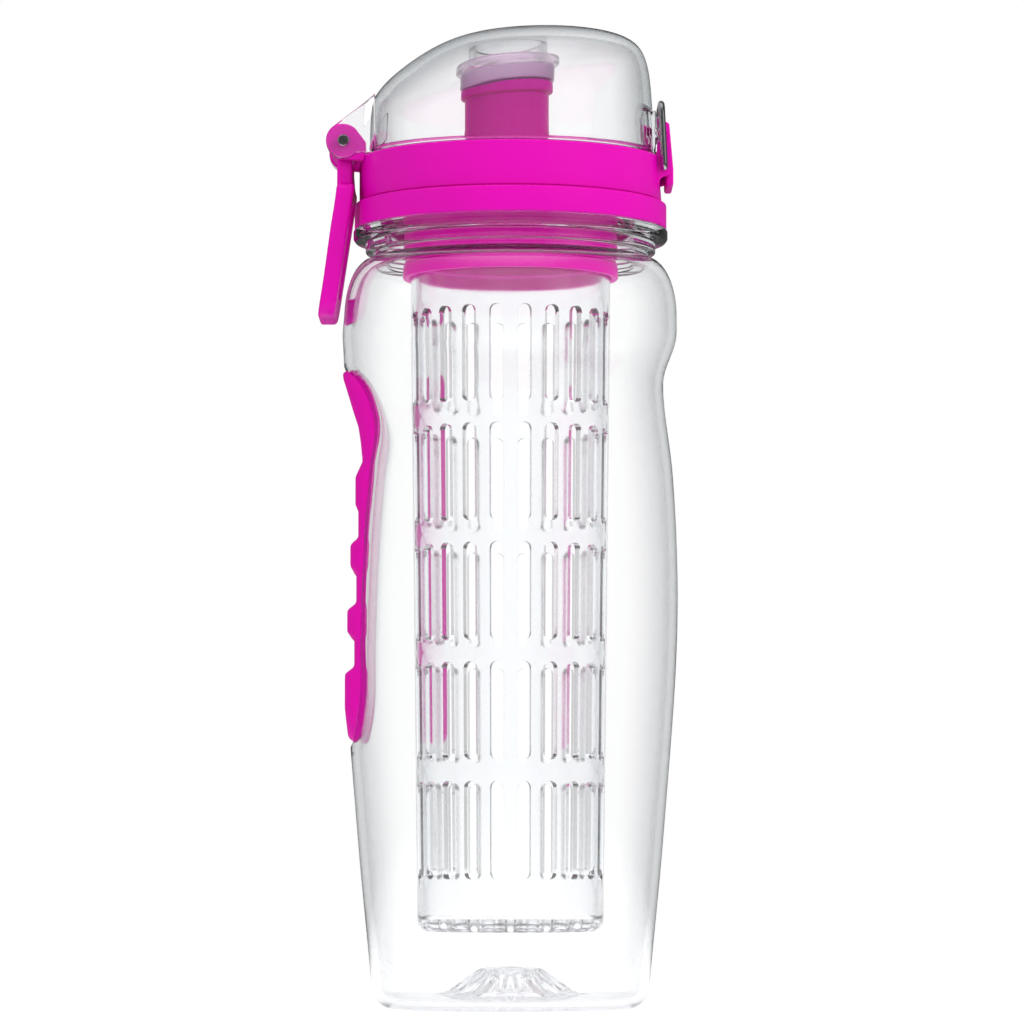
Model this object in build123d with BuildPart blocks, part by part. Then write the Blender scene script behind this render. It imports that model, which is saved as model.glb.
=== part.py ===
from build123d import *
import os
from math import acos, atan2, cos, pi, radians, sin, sqrt

os.makedirs("parts", exist_ok=True)

# Origin: the bottle's axis where it meets the table. +Z is up, the hinge is at -X, the latch at +X.

# Clearances shared by all pieces
clearance = 0.3
running_fit = 0.05
seat_gap = 0.1
overrun = 4.0

# Bottle: a clear moulding, its side drawn from the foot to the shoulder
bottle_wall = 2.4
base_corner = 6.0
foot_radius = 37.2
flank_radius = 41.2
flank_height = 48.0
belly_radius = 45.0
belly_height = 116.0
rise_radius = 43.7
rise_height = 144.0
waist_radius = 41.2
waist_height = 168.0
shoulder_radius = 44.9
shoulder_foot = 182.0
shoulder_head = 187.0
throat_radius = 37.2
throat_height = 202.0
seam_height = 184.5
punt_rise = 9.4
punt_top_radius = 6.0
punt_foot_radius = 19.0
punt_flutes = 6
punt_flute_share = 0.86

# Brow: the bottle stays full above the grip, where the rest of the side draws in to the waist
brow_shift = 3.0
brow_foot = 150.0
brow_full = 176.0
brow_head = 186.0
brow_radius = 42.2
brow_taper = 2.2

# Neck: a small ring, a wide bead under the lid, then the threaded mouth
ring_radius = 39.2
ring_foot = 203.4
ring_thickness = 2.8
bead_radius = 42.5
bead_thickness = 3.0
mouth_height = 225.0
edge_break = 0.6

# Grip: a soft slab in a flat-floored recess on the hinge side
grip_foot = 71.5
grip_head = 172.4
grip_width = 37.0
grip_corner = 9.0

# Lid: a screw cap of two bands, with a deck, a spout and a socket for the infuser
lid_lower_radius = 42.2
lid_upper_radius = 40.9
lid_foot = 210.0
lid_step = 216.7
lid_top = 229.0
lid_wall = 2.2
lid_rim_radius = 36.4
deck_drop = 1.4
deck_thickness = 1.6
lid_edge = 0.5
thread_depth = 1.1
thread_width = 2.0
thread_pitch = 5.0
thread_turns = 1.5
thread_lead = 2.0
socket_radius = 29.0
socket_wall = 2.4
socket_foot = 202.2
screw_depth = 0.8
screw_width = 1.6
screw_pitch = 4.0

# Spout
spout_x = -1.0
spout_radius = 11.4
spout_wall = 2.2
spout_top = 249.4
spout_tilt = 3.0
spout_collar_radius = 12.5
spout_collar_height = 3.0

# Vent valve in the deck, on the latch side of the spout
vent_cap_radius = 3.0
vent_cap_height = 1.6
vent_stem_radius = 1.5
vent_barb_radius = 2.2
vent_barb_height = 1.4

# Flip cover: a clear dome, round at the rim, that slopes down to the hinge
cover_wall = 2.2
cover_rim_radius = 39.2
cover_height = 35.6
cover_ear_thickness = 2.6
cover_ear_radius = 4.75
gusset_x = 4.4
gusset_z = 9.3
ear_root_z = 12.6
tab_width = 14.0
tab_reach = 39.2
tab_height = 12.4
catch_reach = 39.9
catch_rise = 5.0
catch_thickness = 1.4

# Plug: a soft stopper held by a ring under the cover's roof
plug_flange_radius = 14.1
plug_flange_foot = 253.9
plug_flange_thickness = 2.8
plug_body_radius = 12.8
plug_nose_radius = 8.0
plug_nose_depth = 1.4
plug_nose_taper = 20.0
boss_radius = 10.8
boss_wall = 1.6
boss_bite = 1.4

# Hinge at -X, shared by the cover and the carry handle
hinge_x = -44.8
hinge_z = 232.4
hinge_pin_radius = 1.5
hinge_lug_radius = 4.4
hinge_lug_thickness = 2.6
barrel_radius = 4.2
barrel_half_width = 9.4
pin_chamfer = 0.3

# Carry handle: a loop that hangs from the hinge
handle_half_width = 14.0
handle_leg = 5.8
handle_foot = 185.2
handle_neck_foot = 221.0
handle_window_head = 217.5
handle_window_foot = 191.5
handle_corner = 6.0
handle_neck_in = 2.2
handle_neck_out = 1.9
handle_reach_in = 2.9
handle_gap = 2.3
handle_thickness = 4.7

# Latch at +X: a rocking button on a pin, and a wire bail in the same lugs
latch_pin_x = 41.3
latch_pin_z = 231.3
latch_pin_radius = 0.9
latch_lug_radius = 1.9
latch_lug_thickness = 2.0
latch_lug_inner = 8.6
button_half_width = 8.2
button_foot = 221.0
button_head = 238.6
button_face_x = 43.9
button_thickness = 2.1
button_hook_x = 40.3
button_hook_thickness = 1.6
button_boss_wall = 0.65
boss_half_width = 5.4
pocket_floor_x = 40.0
pocket_foot = 218.4
spring_wire = 0.4
spring_turns = 4.5
spring_pitch = 0.5
bail_pivot_x = 41.4
bail_pivot_z = 225.6
bail_wire = 1.8
bail_half_width = 11.8
bail_top_x = 40.6
bail_top_z = 243.2
bail_corner = 4.0
bail_bend = 1.1

# Infuser: a threaded collar and a slotted basket
collar_flange_radius = 29.2
collar_flange_foot = 196.7
collar_flange_head = 201.8
collar_sleeve_wall = 1.8
collar_sleeve_head = 212.0
basket_head = 200.2
basket_foot = 20.7
basket_head_radius = 27.1
basket_foot_radius = 25.0
basket_wall = 2.0
basket_floor = 3.6
basket_corner = 3.0
slot_rows = 5
slots_per_row = 22
slot_width = 3.5
slot_length = 26.0
slot_row_spacing = 31.6
slot_first_row = 47.7
drain_radius = 1.5
drain_circle = 17.0
drain_inner_circle = 9.0
drain_count = 12
drain_inner_count = 6

# The neck is sized from the lid's bore, so that both threads pass with a clearance
lid_bore = lid_upper_radius - lid_wall
neck_radius = lid_bore - 2 * thread_depth - clearance
neck_bore = neck_radius - bottle_wall
ring_head = ring_foot + ring_thickness
bead_head = lid_foot - clearance
bead_foot = bead_head - bead_thickness
deck_top = lid_top - deck_drop
deck_under = deck_top - deck_thickness
socket_bore = socket_radius - socket_wall
sleeve_radius = socket_bore - 2 * screw_depth - clearance
sleeve_bore = sleeve_radius - collar_sleeve_wall
vent_x = socket_bore - vent_barb_radius - 2 * clearance
cover_rim = lid_top + clearance

# A thread's rib, as shares of its depth and width
rib_sunk_share = 0.25
rib_crest_share = 0.25

grip_length = grip_head - grip_foot
# Outlines on the hinge side, as shares of the belly's radius and of the grip's length
floor_shares = (
    (1.013, 1.000), (0.864, 0.917), (0.809, 0.837), (0.836, 0.709),
    (0.867, 0.530), (0.891, 0.263), (0.900, 0.104), (0.940, 0.000),
)
saddle_shares = ((1.004, 0.985), (0.993, 0.957), (0.962, 0.913), (0.931, 0.867),
                 (0.902, 0.828), (0.889, 0.788), (0.878, 0.738))
rib_shares = ((0.920, 0.605, 0.714), (0.949, 0.441, 0.535), (0.967, 0.267, 0.362), (0.980, 0.069, 0.194))
rib_slope_share = 0.018
valley_shares = (0.902, 0.913, 0.924)
grip_tail_share = 0.960

# Cover sections as shares: height, reach to the hinge, reach to the latch, half width
wall_shares = ((0.00, 1.000, 1.000, 1.000), (0.36, 0.982, 0.982, 0.978))
roof_shares = (
    (0.36, 0.982, 0.982, 0.978),
    (0.41, 0.968, 0.979, 0.967),
    (0.46, 0.944, 0.976, 0.954),
    (0.56, 0.876, 0.969, 0.914),
    (0.66, 0.776, 0.958, 0.858),
    (0.76, 0.655, 0.936, 0.776),
    (0.85, 0.521, 0.896, 0.668),
    (0.92, 0.372, 0.812, 0.530),
    (0.97, 0.205, 0.660, 0.356),
    (0.99, 0.050, 0.480, 0.220),
)


def side_points(inset):
    """The bottle's side from the foot to the waist, moved in by a wall."""
    return [
        (foot_radius - inset, base_corner),
        (flank_radius - inset, flank_height),
        (belly_radius - inset, belly_height),
        (rise_radius - inset, rise_height),
        (waist_radius - inset, waist_height),
    ]


def floor_points(inset):
    """The recess floor behind the grip, from its top to its foot, moved in by a wall."""
    return [(inset - belly_radius * r, grip_foot + grip_length * h) for r, h in floor_shares]


def shell_form(inset, base, neck, top):
    """The bottle's full body with its side moved in by inset, from base up to top."""
    corner = base_corner - inset
    with BuildPart() as form:
        with BuildSketch(Plane.XZ):
            with BuildLine():
                Line((0, base), (foot_radius - inset - corner, base))
                TangentArc(
                    (foot_radius - inset - corner, base),
                    (foot_radius - inset, base + corner),
                    tangent=(1, 0),
                )
                Spline(*side_points(inset), tangents=((0.09, 1), (0, 1)))
                Spline(
                    (waist_radius - inset, waist_height),
                    (shoulder_radius - inset, shoulder_foot),
                    tangents=((0, 1), (0, 1)),
                )
                Line((shoulder_radius - inset, shoulder_foot), (shoulder_radius - inset, shoulder_head))
                Spline(
                    (shoulder_radius - inset, shoulder_head),
                    (neck, throat_height - inset),
                    tangents=((0, 1), (-1, 0.1)),
                )
                Polyline((neck, throat_height - inset), (neck, top), (0, top), (0, base))
            make_face()
        revolve(axis=Axis.Z)
        # The brow, turned about an axis set towards the hinge
        with BuildSketch(Plane((-brow_shift, 0, 0), x_dir=(1, 0, 0), z_dir=(0, -1, 0))):
            with BuildLine():
                Spline(
                    (brow_radius - brow_taper - inset, brow_foot),
                    (brow_radius - inset, brow_full),
                    (shoulder_radius - brow_shift - edge_break - inset, brow_head),
                )
                Polyline(
                    (shoulder_radius - brow_shift - edge_break - inset, brow_head),
                    (0, brow_head),
                    (0, brow_foot),
                    (brow_radius - brow_taper - inset, brow_foot),
                )
            make_face()
        revolve(axis=Axis((-brow_shift, 0, 0), (0, 0, 1)))
        # The recess, cut straight across under the grip
        with BuildSketch(Plane.XZ):
            with BuildLine():
                points = floor_points(inset)
                Spline(*points)
                far = -belly_radius - overrun
                Polyline(points[-1], (far, points[-1][1]), (far, points[0][1]), points[0])
            make_face()
        extrude(amount=belly_radius, both=True, mode=Mode.SUBTRACT)
    return form.part


def star_points(radius):
    """A fluted outline for the pushed-up centre of the base."""
    points = []
    for index in range(2 * punt_flutes):
        reach = radius if index % 2 == 0 else radius * punt_flute_share
        angle = pi * index / punt_flutes
        points.append((reach * cos(angle), reach * sin(angle)))
    return points


def helical_rib(radius, depth, width, pitch, turns, foot, outward):
    """A thread: a tapered rib wound up a cylinder, with its root sunk into the wall."""
    way = 1 if outward else -1
    sunk = radius - way * depth * rib_sunk_share
    crest = radius + way * depth
    with BuildPart() as rib:
        with BuildLine():
            path = Helix(pitch=pitch, height=pitch * turns, radius=sunk, center=(0, 0, foot))
        with BuildSketch(Plane((0, 0, foot), x_dir=(1, 0, 0), z_dir=(0, -1, 0))):
            Polygon(
                (sunk, -width / 2),
                (sunk, width / 2),
                (crest, width * rib_crest_share / 2),
                (crest, -width * rib_crest_share / 2),
            )
        sweep(path=path, is_frenet=True)
    return rib.part


outer_form = shell_form(0, 0, throat_radius, throat_height + edge_break)
inner_form = shell_form(bottle_wall, bottle_wall, neck_bore, throat_height)

with BuildPart() as bottle_moulding:
    add(outer_form)
    # The neck above the shoulder, with its ring and bead
    with BuildSketch(Plane.XZ):
        Polygon(
            (0, shoulder_head),
            (throat_radius, throat_height),
            (throat_radius, ring_foot),
            (ring_radius, ring_foot + edge_break),
            (ring_radius, ring_head - edge_break),
            (bead_radius - edge_break, bead_foot),
            (bead_radius, bead_foot + edge_break),
            (bead_radius, bead_head - edge_break),
            (bead_radius - edge_break, bead_head),
            (neck_radius, bead_head),
            (neck_radius, mouth_height - edge_break),
            (neck_radius - edge_break, mouth_height),
            (0, mouth_height),
        )
    revolve(axis=Axis.Z)
    add(
        helical_rib(
            neck_radius, thread_depth, thread_width, thread_pitch, thread_turns,
            bead_head + thread_lead + thread_width / 2, True,
        )
    )
    add(inner_form, mode=Mode.SUBTRACT)
    with BuildSketch(Plane.XY.offset(shoulder_head)):
        Circle(neck_bore)
    extrude(amount=mouth_height - shoulder_head + overrun, mode=Mode.SUBTRACT)
    # The pushed-up centre of the base
    with BuildSketch(Plane.XZ):
        Polygon(
            (0, 0),
            (punt_foot_radius + bottle_wall, 0),
            (punt_foot_radius + bottle_wall, bottle_wall),
            (punt_top_radius + bottle_wall, punt_rise + bottle_wall),
            (0, punt_rise + bottle_wall),
        )
    revolve(axis=Axis.Z)
    with BuildSketch(Plane.XY):
        Polygon(*star_points(punt_foot_radius))
    with BuildSketch(Plane.XY.offset(punt_rise)):
        Polygon(*star_points(punt_top_radius))
    loft(ruled=True, mode=Mode.SUBTRACT)

# The one moulding is held as two nodes that meet at the shoulder
with BuildPart() as bottle_body:
    add(bottle_moulding.part)
    split(bisect_by=Plane.XY.offset(seam_height), keep=Keep.BOTTOM)
bottle_body.part.label = "bottle_body"

with BuildPart() as bottle_neck:
    add(bottle_moulding.part)
    split(bisect_by=Plane.XY.offset(seam_height), keep=Keep.TOP)
bottle_neck.part.label = "bottle_neck"


def grip_outline():
    """The grip's outer line, from its tip over the saddle and the ribs to its tail."""
    line = list(saddle_shares)
    for index, (reach, low, high) in enumerate(rib_shares):
        line.append((reach, high - rib_slope_share))
        line.append((reach, low + rib_slope_share))
        if index < len(valley_shares):
            line.append((valley_shares[index], low))
            line.append((valley_shares[index], rib_shares[index + 1][2]))
    line.append((grip_tail_share, 0.0))
    return [(-belly_radius * r, grip_foot + grip_length * h) for r, h in line]


with BuildPart() as side_grip:
    with BuildSketch(Plane.XZ):
        with BuildLine():
            floor = [(x - seat_gap, z) for x, z in floor_points(0)]
            Spline(*floor)
            Polyline(floor[-1], *reversed(grip_outline()), floor[0])
        make_face()
    extrude(amount=grip_width / 2, both=True)
    with BuildSketch(Plane.YZ.offset(-belly_radius - overrun)):
        with Locations((0, grip_foot + grip_length / 2)):
            RectangleRounded(grip_width, grip_length + overrun, grip_corner)
    extrude(amount=belly_radius, mode=Mode.INTERSECT)
side_grip.part.label = "side_grip"

mouth_normal = (-sin(radians(spout_tilt)), 0, cos(radians(spout_tilt)))
mouth_plane = Plane((spout_x, 0, spout_top), z_dir=mouth_normal)
spout_axis = Axis((spout_x, 0, 0), (0, 0, 1))


def hinge_plane(height):
    """A plane across the hinge axis, at a distance along it."""
    return Plane((hinge_x, height, hinge_z), x_dir=(1, 0, 0), z_dir=(0, -1, 0))


lug_inner = barrel_half_width + clearance
lug_outer = lug_inner + hinge_lug_thickness
ear_inner = lug_outer + clearance
ear_outer = ear_inner + cover_ear_thickness
lug_foot_x = -sqrt(cover_rim_radius**2 - lug_inner**2) - clearance - hinge_x
latch_lug_outer = latch_lug_inner + latch_lug_thickness
bail_bore = bail_wire / 2 + running_fit

with BuildPart() as lid_base:
    with BuildSketch(Plane.XZ):
        Polygon(
            (0, deck_under),
            (socket_bore, deck_under),
            (socket_bore, socket_foot + edge_break),
            (socket_bore + edge_break, socket_foot),
            (socket_radius - edge_break, socket_foot),
            (socket_radius, socket_foot + edge_break),
            (socket_radius, deck_under),
            (lid_bore, deck_under),
            (lid_bore, lid_foot + edge_break),
            (lid_bore + edge_break, lid_foot),
            (lid_lower_radius - lid_edge, lid_foot),
            (lid_lower_radius, lid_foot + lid_edge),
            (lid_lower_radius, lid_step - lid_edge),
            (lid_lower_radius - lid_edge, lid_step),
            (lid_upper_radius, lid_step),
            (lid_upper_radius, lid_top - lid_edge),
            (lid_upper_radius - lid_edge, lid_top),
            (lid_rim_radius + lid_edge, lid_top),
            (lid_rim_radius, lid_top - lid_edge),
            (lid_rim_radius, deck_top),
            (0, deck_top),
        )
    revolve(axis=Axis.Z)
    # Spout column and collar, cut off at the slanted mouth
    with BuildSketch(Plane.XY.offset(deck_under)):
        with Locations((spout_x, 0)):
            Circle(spout_radius)
    extrude(amount=spout_top - deck_under + overrun)
    with BuildSketch(mouth_plane.offset(-spout_collar_height)):
        Circle(spout_collar_radius)
    extrude(amount=spout_collar_height + overrun)
    with BuildSketch(mouth_plane):
        Circle(2 * spout_collar_radius)
    extrude(amount=3 * overrun, mode=Mode.SUBTRACT)
    with BuildSketch(Plane.XY.offset(deck_under - overrun)):
        with Locations((spout_x, 0)):
            Circle(spout_radius - spout_wall)
        with Locations((vent_x, 0)):
            Circle(vent_stem_radius + running_fit)
    extrude(amount=spout_top - deck_under + 2 * overrun, mode=Mode.SUBTRACT)
    # Threads inside the skirt and inside the infuser's socket
    add(
        helical_rib(
            lid_bore, thread_depth, thread_width, thread_pitch, thread_turns,
            lid_foot + thread_lead + thread_width / 2, False,
        )
    )
    add(
        helical_rib(
            socket_bore, screw_depth, screw_width, screw_pitch, thread_turns,
            socket_foot + thread_lead + screw_width / 2, False,
        )
    )
    # Hinge lugs
    for side in (-1, 1):
        near = side * lug_inner if side > 0 else side * lug_outer
        with BuildSketch(hinge_plane(near + hinge_lug_thickness)):
            Circle(hinge_lug_radius)
            Polygon(
                (0, -hinge_lug_radius),
                (lug_foot_x, -hinge_lug_radius - lid_edge),
                (lug_foot_x, 0),
                (hinge_lug_radius * cos(pi / 4), hinge_lug_radius * sin(pi / 4)),
            )
        extrude(amount=hinge_lug_thickness)
    with BuildSketch(hinge_plane(lug_outer + overrun)):
        Circle(hinge_pin_radius + running_fit)
    extrude(amount=2 * (lug_outer + overrun), mode=Mode.SUBTRACT)
    # Pocket behind the button, then the latch lugs with their two bores
    with BuildSketch(Plane.YZ.offset(pocket_floor_x)):
        with Locations((0, (pocket_foot + lid_top) / 2)):
            Rectangle(2 * latch_lug_inner, lid_top - pocket_foot)
    extrude(amount=overrun, mode=Mode.SUBTRACT)
    for side in (-1, 1):
        far = side * latch_lug_inner if side < 0 else side * latch_lug_outer
        with BuildSketch(Plane((0, far, 0), x_dir=(1, 0, 0), z_dir=(0, -1, 0))):
            with Locations((latch_pin_x, latch_pin_z), (bail_pivot_x, bail_pivot_z)):
                Circle(latch_lug_radius)
            Polygon(
                (latch_pin_x - latch_lug_radius, latch_pin_z),
                (latch_pin_x + latch_lug_radius, latch_pin_z),
                (bail_pivot_x + latch_lug_radius, bail_pivot_z),
                (bail_pivot_x, bail_pivot_z - latch_lug_radius),
                (lid_bore, lid_step + lid_edge),
                (lid_bore, lid_top),
                (latch_pin_x - latch_lug_radius, lid_top),
            )
            with Locations((latch_pin_x, latch_pin_z)):
                Circle(latch_pin_radius + running_fit, mode=Mode.SUBTRACT)
            with Locations((bail_pivot_x, bail_pivot_z)):
                Circle(bail_bore, mode=Mode.SUBTRACT)
        extrude(amount=latch_lug_thickness)
lid_base.part.label = "lid_base"

with BuildPart() as lid_gasket:
    with BuildSketch(Plane.XZ):
        Polygon(
            (neck_bore, mouth_height + seat_gap),
            (neck_radius - edge_break, mouth_height + seat_gap),
            (neck_radius, deck_under - seat_gap),
            (neck_bore - edge_break, deck_under - seat_gap),
        )
    revolve(axis=Axis.Z)
lid_gasket.part.label = "lid_gasket"

vent_axis = Axis((vent_x, 0, 0), (0, 0, 1))
with BuildPart() as vent_valve:
    with BuildSketch(Plane((vent_x, 0, 0), x_dir=(1, 0, 0), z_dir=(0, -1, 0))):
        Polygon(
            (0, deck_under - seat_gap - vent_barb_height),
            (vent_stem_radius / 2, deck_under - seat_gap - vent_barb_height),
            (vent_barb_radius, deck_under - seat_gap),
            (vent_stem_radius, deck_under - seat_gap),
            (vent_stem_radius, deck_top + seat_gap),
            (vent_cap_radius, deck_top + seat_gap),
            (vent_cap_radius, deck_top + seat_gap + vent_cap_height / 2),
            (vent_cap_radius / 2, deck_top + seat_gap + vent_cap_height),
            (0, deck_top + seat_gap + vent_cap_height),
        )
    revolve(axis=vent_axis)
vent_valve.part.label = "vent_valve"

def cover_section(inset, shares):
    """One level slice of the cover, an ellipse set off towards the latch."""
    height, back, front, half = shares
    radius = cover_rim_radius - inset
    with BuildSketch(Plane.XY.offset(cover_rim + (cover_height - inset) * height)) as slice_form:
        with Locations((radius * (front - back) / 2, 0)):
            Ellipse(radius * (front + back) / 2, radius * half)
    return slice_form.sketch


def dome(inset):
    """The cover's solid form, moved in by a wall on every side but the rim."""
    with BuildPart() as form:
        loft(sections=[cover_section(inset, shares) for shares in wall_shares], ruled=True)
        loft(sections=[cover_section(inset, shares) for shares in roof_shares])
    return form.part


cover_outer = dome(0)
with BuildPart() as cover_cavity:
    add(dome(cover_wall))
    with BuildSketch(Plane.XY.offset(cover_rim - overrun)):
        Circle(cover_rim_radius - cover_wall)
    extrude(amount=overrun)
    # The ring under the roof that holds the plug
    with BuildSketch(Plane.XY.offset(plug_flange_foot + plug_flange_thickness - boss_bite)):
        with Locations((spout_x, 0)):
            Circle(boss_radius)
            Circle(boss_radius - boss_wall, mode=Mode.SUBTRACT)
    extrude(amount=cover_height, mode=Mode.SUBTRACT)

# The ear's top edge leaves its round end at a tangent and meets the dome
gusset_reach = sqrt(gusset_x**2 + gusset_z**2)
tangent_angle = atan2(gusset_z, gusset_x) + acos(cover_ear_radius / gusset_reach)
ear_foot_x = sqrt(cover_ear_radius**2 - (hinge_z - cover_rim) ** 2)
ear_root_x = -sqrt(cover_rim_radius**2 - ear_inner**2) - hinge_x + cover_wall / 4

with BuildPart() as flip_cover:
    add(cover_outer)
    # Catch tab and its ledge on the latch side
    with BuildSketch(Plane.XZ.offset(-tab_width / 2)):
        Polygon(
            (cover_rim_radius - cover_wall, cover_rim),
            (tab_reach, cover_rim),
            (tab_reach, cover_rim + catch_rise),
            (catch_reach, cover_rim + catch_rise),
            (catch_reach, cover_rim + catch_rise + catch_thickness),
            (tab_reach, cover_rim + catch_rise + 2 * catch_thickness),
            (tab_reach, cover_rim + tab_height - edge_break),
            (tab_reach - edge_break, cover_rim + tab_height),
            (cover_rim_radius - cover_wall, cover_rim + tab_height),
        )
    extrude(amount=tab_width)
    for side in (-1, 1):
        far = side * ear_inner if side < 0 else side * ear_outer
        with BuildSketch(hinge_plane(far)):
            Circle(cover_ear_radius)
            Polygon(
                (0, 0),
                (ear_foot_x, cover_rim - hinge_z),
                (ear_root_x, cover_rim - hinge_z),
                (ear_root_x, ear_root_z),
                (gusset_x, gusset_z),
                (cover_ear_radius * cos(tangent_angle), cover_ear_radius * sin(tangent_angle)),
            )
        extrude(amount=cover_ear_thickness)
    add(cover_cavity.part, mode=Mode.SUBTRACT)
    with BuildSketch(hinge_plane(ear_outer + overrun)):
        Circle(hinge_pin_radius + running_fit)
    extrude(amount=2 * (ear_outer + overrun), mode=Mode.SUBTRACT)
flip_cover.part.label = "flip_cover"

with BuildPart() as spout_plug:
    with BuildSketch(Plane((spout_x, 0, 0), x_dir=(1, 0, 0), z_dir=(0, -1, 0))):
        Polygon(
            (0, spout_top - overrun),
            (plug_body_radius, spout_top - overrun),
            (plug_body_radius, plug_flange_foot - edge_break),
            (plug_flange_radius - edge_break, plug_flange_foot),
            (plug_flange_radius, plug_flange_foot + edge_break),
            (plug_flange_radius, plug_flange_foot + plug_flange_thickness - edge_break),
            (plug_flange_radius - edge_break, plug_flange_foot + plug_flange_thickness),
            (0, plug_flange_foot + plug_flange_thickness),
        )
    revolve(axis=spout_axis)
    with BuildSketch(mouth_plane.offset(clearance)):
        Circle(2 * plug_body_radius)
    extrude(amount=-2 * overrun, mode=Mode.SUBTRACT)
    with BuildSketch(mouth_plane.offset(clearance)):
        Circle(plug_nose_radius)
    extrude(amount=-plug_nose_depth, taper=plug_nose_taper)
    # Groove that takes the cover's ring
    with BuildSketch(Plane.XY.offset(plug_flange_foot + plug_flange_thickness - boss_bite - seat_gap)):
        with Locations((spout_x, 0)):
            Circle(boss_radius + seat_gap)
            Circle(boss_radius - boss_wall - seat_gap, mode=Mode.SUBTRACT)
    extrude(amount=boss_bite + overrun, mode=Mode.SUBTRACT)
spout_plug.part.label = "spout_plug"

with BuildPart() as hinge_pin:
    with BuildSketch(hinge_plane(ear_outer + seat_gap)):
        Circle(hinge_pin_radius)
    extrude(amount=2 * (ear_outer + seat_gap))
    chamfer(hinge_pin.edges().filter_by(GeomType.CIRCLE), pin_chamfer)
hinge_pin.part.label = "hinge_pin"

# The loop's foot stands clear of the bottle's shoulder
handle_reach_out = shoulder_radius + handle_gap + handle_thickness + hinge_x
with BuildPart() as carry_handle:
    # Side view: a thin neck under the pin, then the loop leaning out to its foot
    with BuildSketch(hinge_plane(handle_half_width)):
        with BuildLine():
            drop = handle_foot - hinge_z
            neck_drop = handle_neck_foot - hinge_z
            Polyline(
                (-handle_reach_out, drop + lid_edge),
                (-handle_reach_out + lid_edge, drop),
                (-handle_reach_out + handle_thickness - lid_edge, drop),
                (-handle_reach_out + handle_thickness, drop + lid_edge),
            )
            Spline(
                (-handle_reach_out + handle_thickness, drop + lid_edge),
                (-handle_reach_out / 2 + handle_thickness, drop / 2),
                (handle_reach_in, neck_drop - lid_edge),
            )
            Polyline(
                (handle_reach_in, neck_drop - lid_edge),
                (handle_neck_in, neck_drop),
                (handle_neck_in, 0),
                (-handle_neck_out, 0),
                (-handle_neck_out, neck_drop),
            )
            Spline(
                (-handle_neck_out, neck_drop),
                (-handle_reach_out / 2, drop / 2),
                (-handle_reach_out, drop + lid_edge),
                tangents=((-0.05, -1), (-0.2, -1)),
            )
        make_face()
    extrude(amount=2 * handle_half_width)
    # View from the hinge side: the neck above, the loop and its window below
    loop_height = handle_neck_foot - handle_foot
    window_height = handle_window_head - handle_window_foot
    with BuildSketch(Plane.YZ.offset(hinge_x - 2 * handle_reach_out)):
        with Locations((0, handle_foot + loop_height / 2)):
            RectangleRounded(2 * handle_half_width, loop_height, handle_corner)
        with Locations((0, (handle_neck_foot + hinge_z - handle_corner) / 2)):
            Rectangle(2 * barrel_half_width, hinge_z - handle_neck_foot + handle_corner)
        with Locations((0, handle_window_foot + window_height / 2)):
            RectangleRounded(
                2 * (handle_half_width - handle_leg), window_height, handle_corner / 2,
                mode=Mode.SUBTRACT,
            )
    extrude(amount=4 * handle_reach_out, mode=Mode.INTERSECT)
    with BuildSketch(hinge_plane(barrel_half_width)):
        Circle(barrel_radius)
    extrude(amount=2 * barrel_half_width)
    with BuildSketch(hinge_plane(barrel_half_width + overrun)):
        Circle(hinge_pin_radius + running_fit)
    extrude(amount=2 * (barrel_half_width + overrun), mode=Mode.SUBTRACT)
carry_handle.part.label = "carry_handle"

button_back_x = button_face_x - button_thickness
spring_radius = latch_pin_radius + running_fit + spring_wire / 2 + seat_gap
spring_leg = latch_pin_z - lid_top - seat_gap
with BuildPart() as latch_button:
    with BuildSketch(Plane.XZ.offset(-button_half_width)):
        Polygon(
            (button_back_x, button_foot),
            (button_face_x - edge_break, button_foot),
            (button_face_x, button_foot + edge_break),
            (button_face_x, bail_pivot_z),
            (button_face_x - button_thickness / 2, button_head - edge_break),
            (button_face_x - button_thickness, button_head),
            (button_hook_x, button_head - edge_break),
            (button_hook_x, button_head - button_hook_thickness),
            (button_face_x - button_thickness, button_head - 2 * button_hook_thickness),
        )
    extrude(amount=2 * button_half_width)
    with BuildSketch(Plane.XZ.offset(-boss_half_width)):
        with Locations((latch_pin_x, latch_pin_z)):
            Circle(latch_pin_radius + running_fit + button_boss_wall)
    extrude(amount=2 * boss_half_width)
    with BuildSketch(Plane.XZ.offset(-button_half_width - overrun)):
        with Locations((latch_pin_x, latch_pin_z)):
            Circle(latch_pin_radius + running_fit)
    extrude(amount=2 * (button_half_width + overrun), mode=Mode.SUBTRACT)
    # Relief for the spring's coil and its outer leg
    relief_radius = spring_radius + spring_wire / 2 + clearance
    with BuildSketch(Plane.XZ.offset(-button_half_width)):
        with Locations((latch_pin_x, latch_pin_z)):
            Circle(relief_radius)
        with Locations((latch_pin_x, latch_pin_z - spring_leg)):
            Rectangle(2 * relief_radius, 2 * spring_leg)
    extrude(amount=button_half_width - boss_half_width, mode=Mode.SUBTRACT)
latch_button.part.label = "latch_button"

with BuildPart() as latch_pin:
    with BuildSketch(Plane.XZ.offset(-latch_lug_outer - seat_gap)):
        with Locations((latch_pin_x, latch_pin_z)):
            Circle(latch_pin_radius)
    extrude(amount=2 * (latch_lug_outer + seat_gap))
latch_pin.part.label = "latch_pin"

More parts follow.
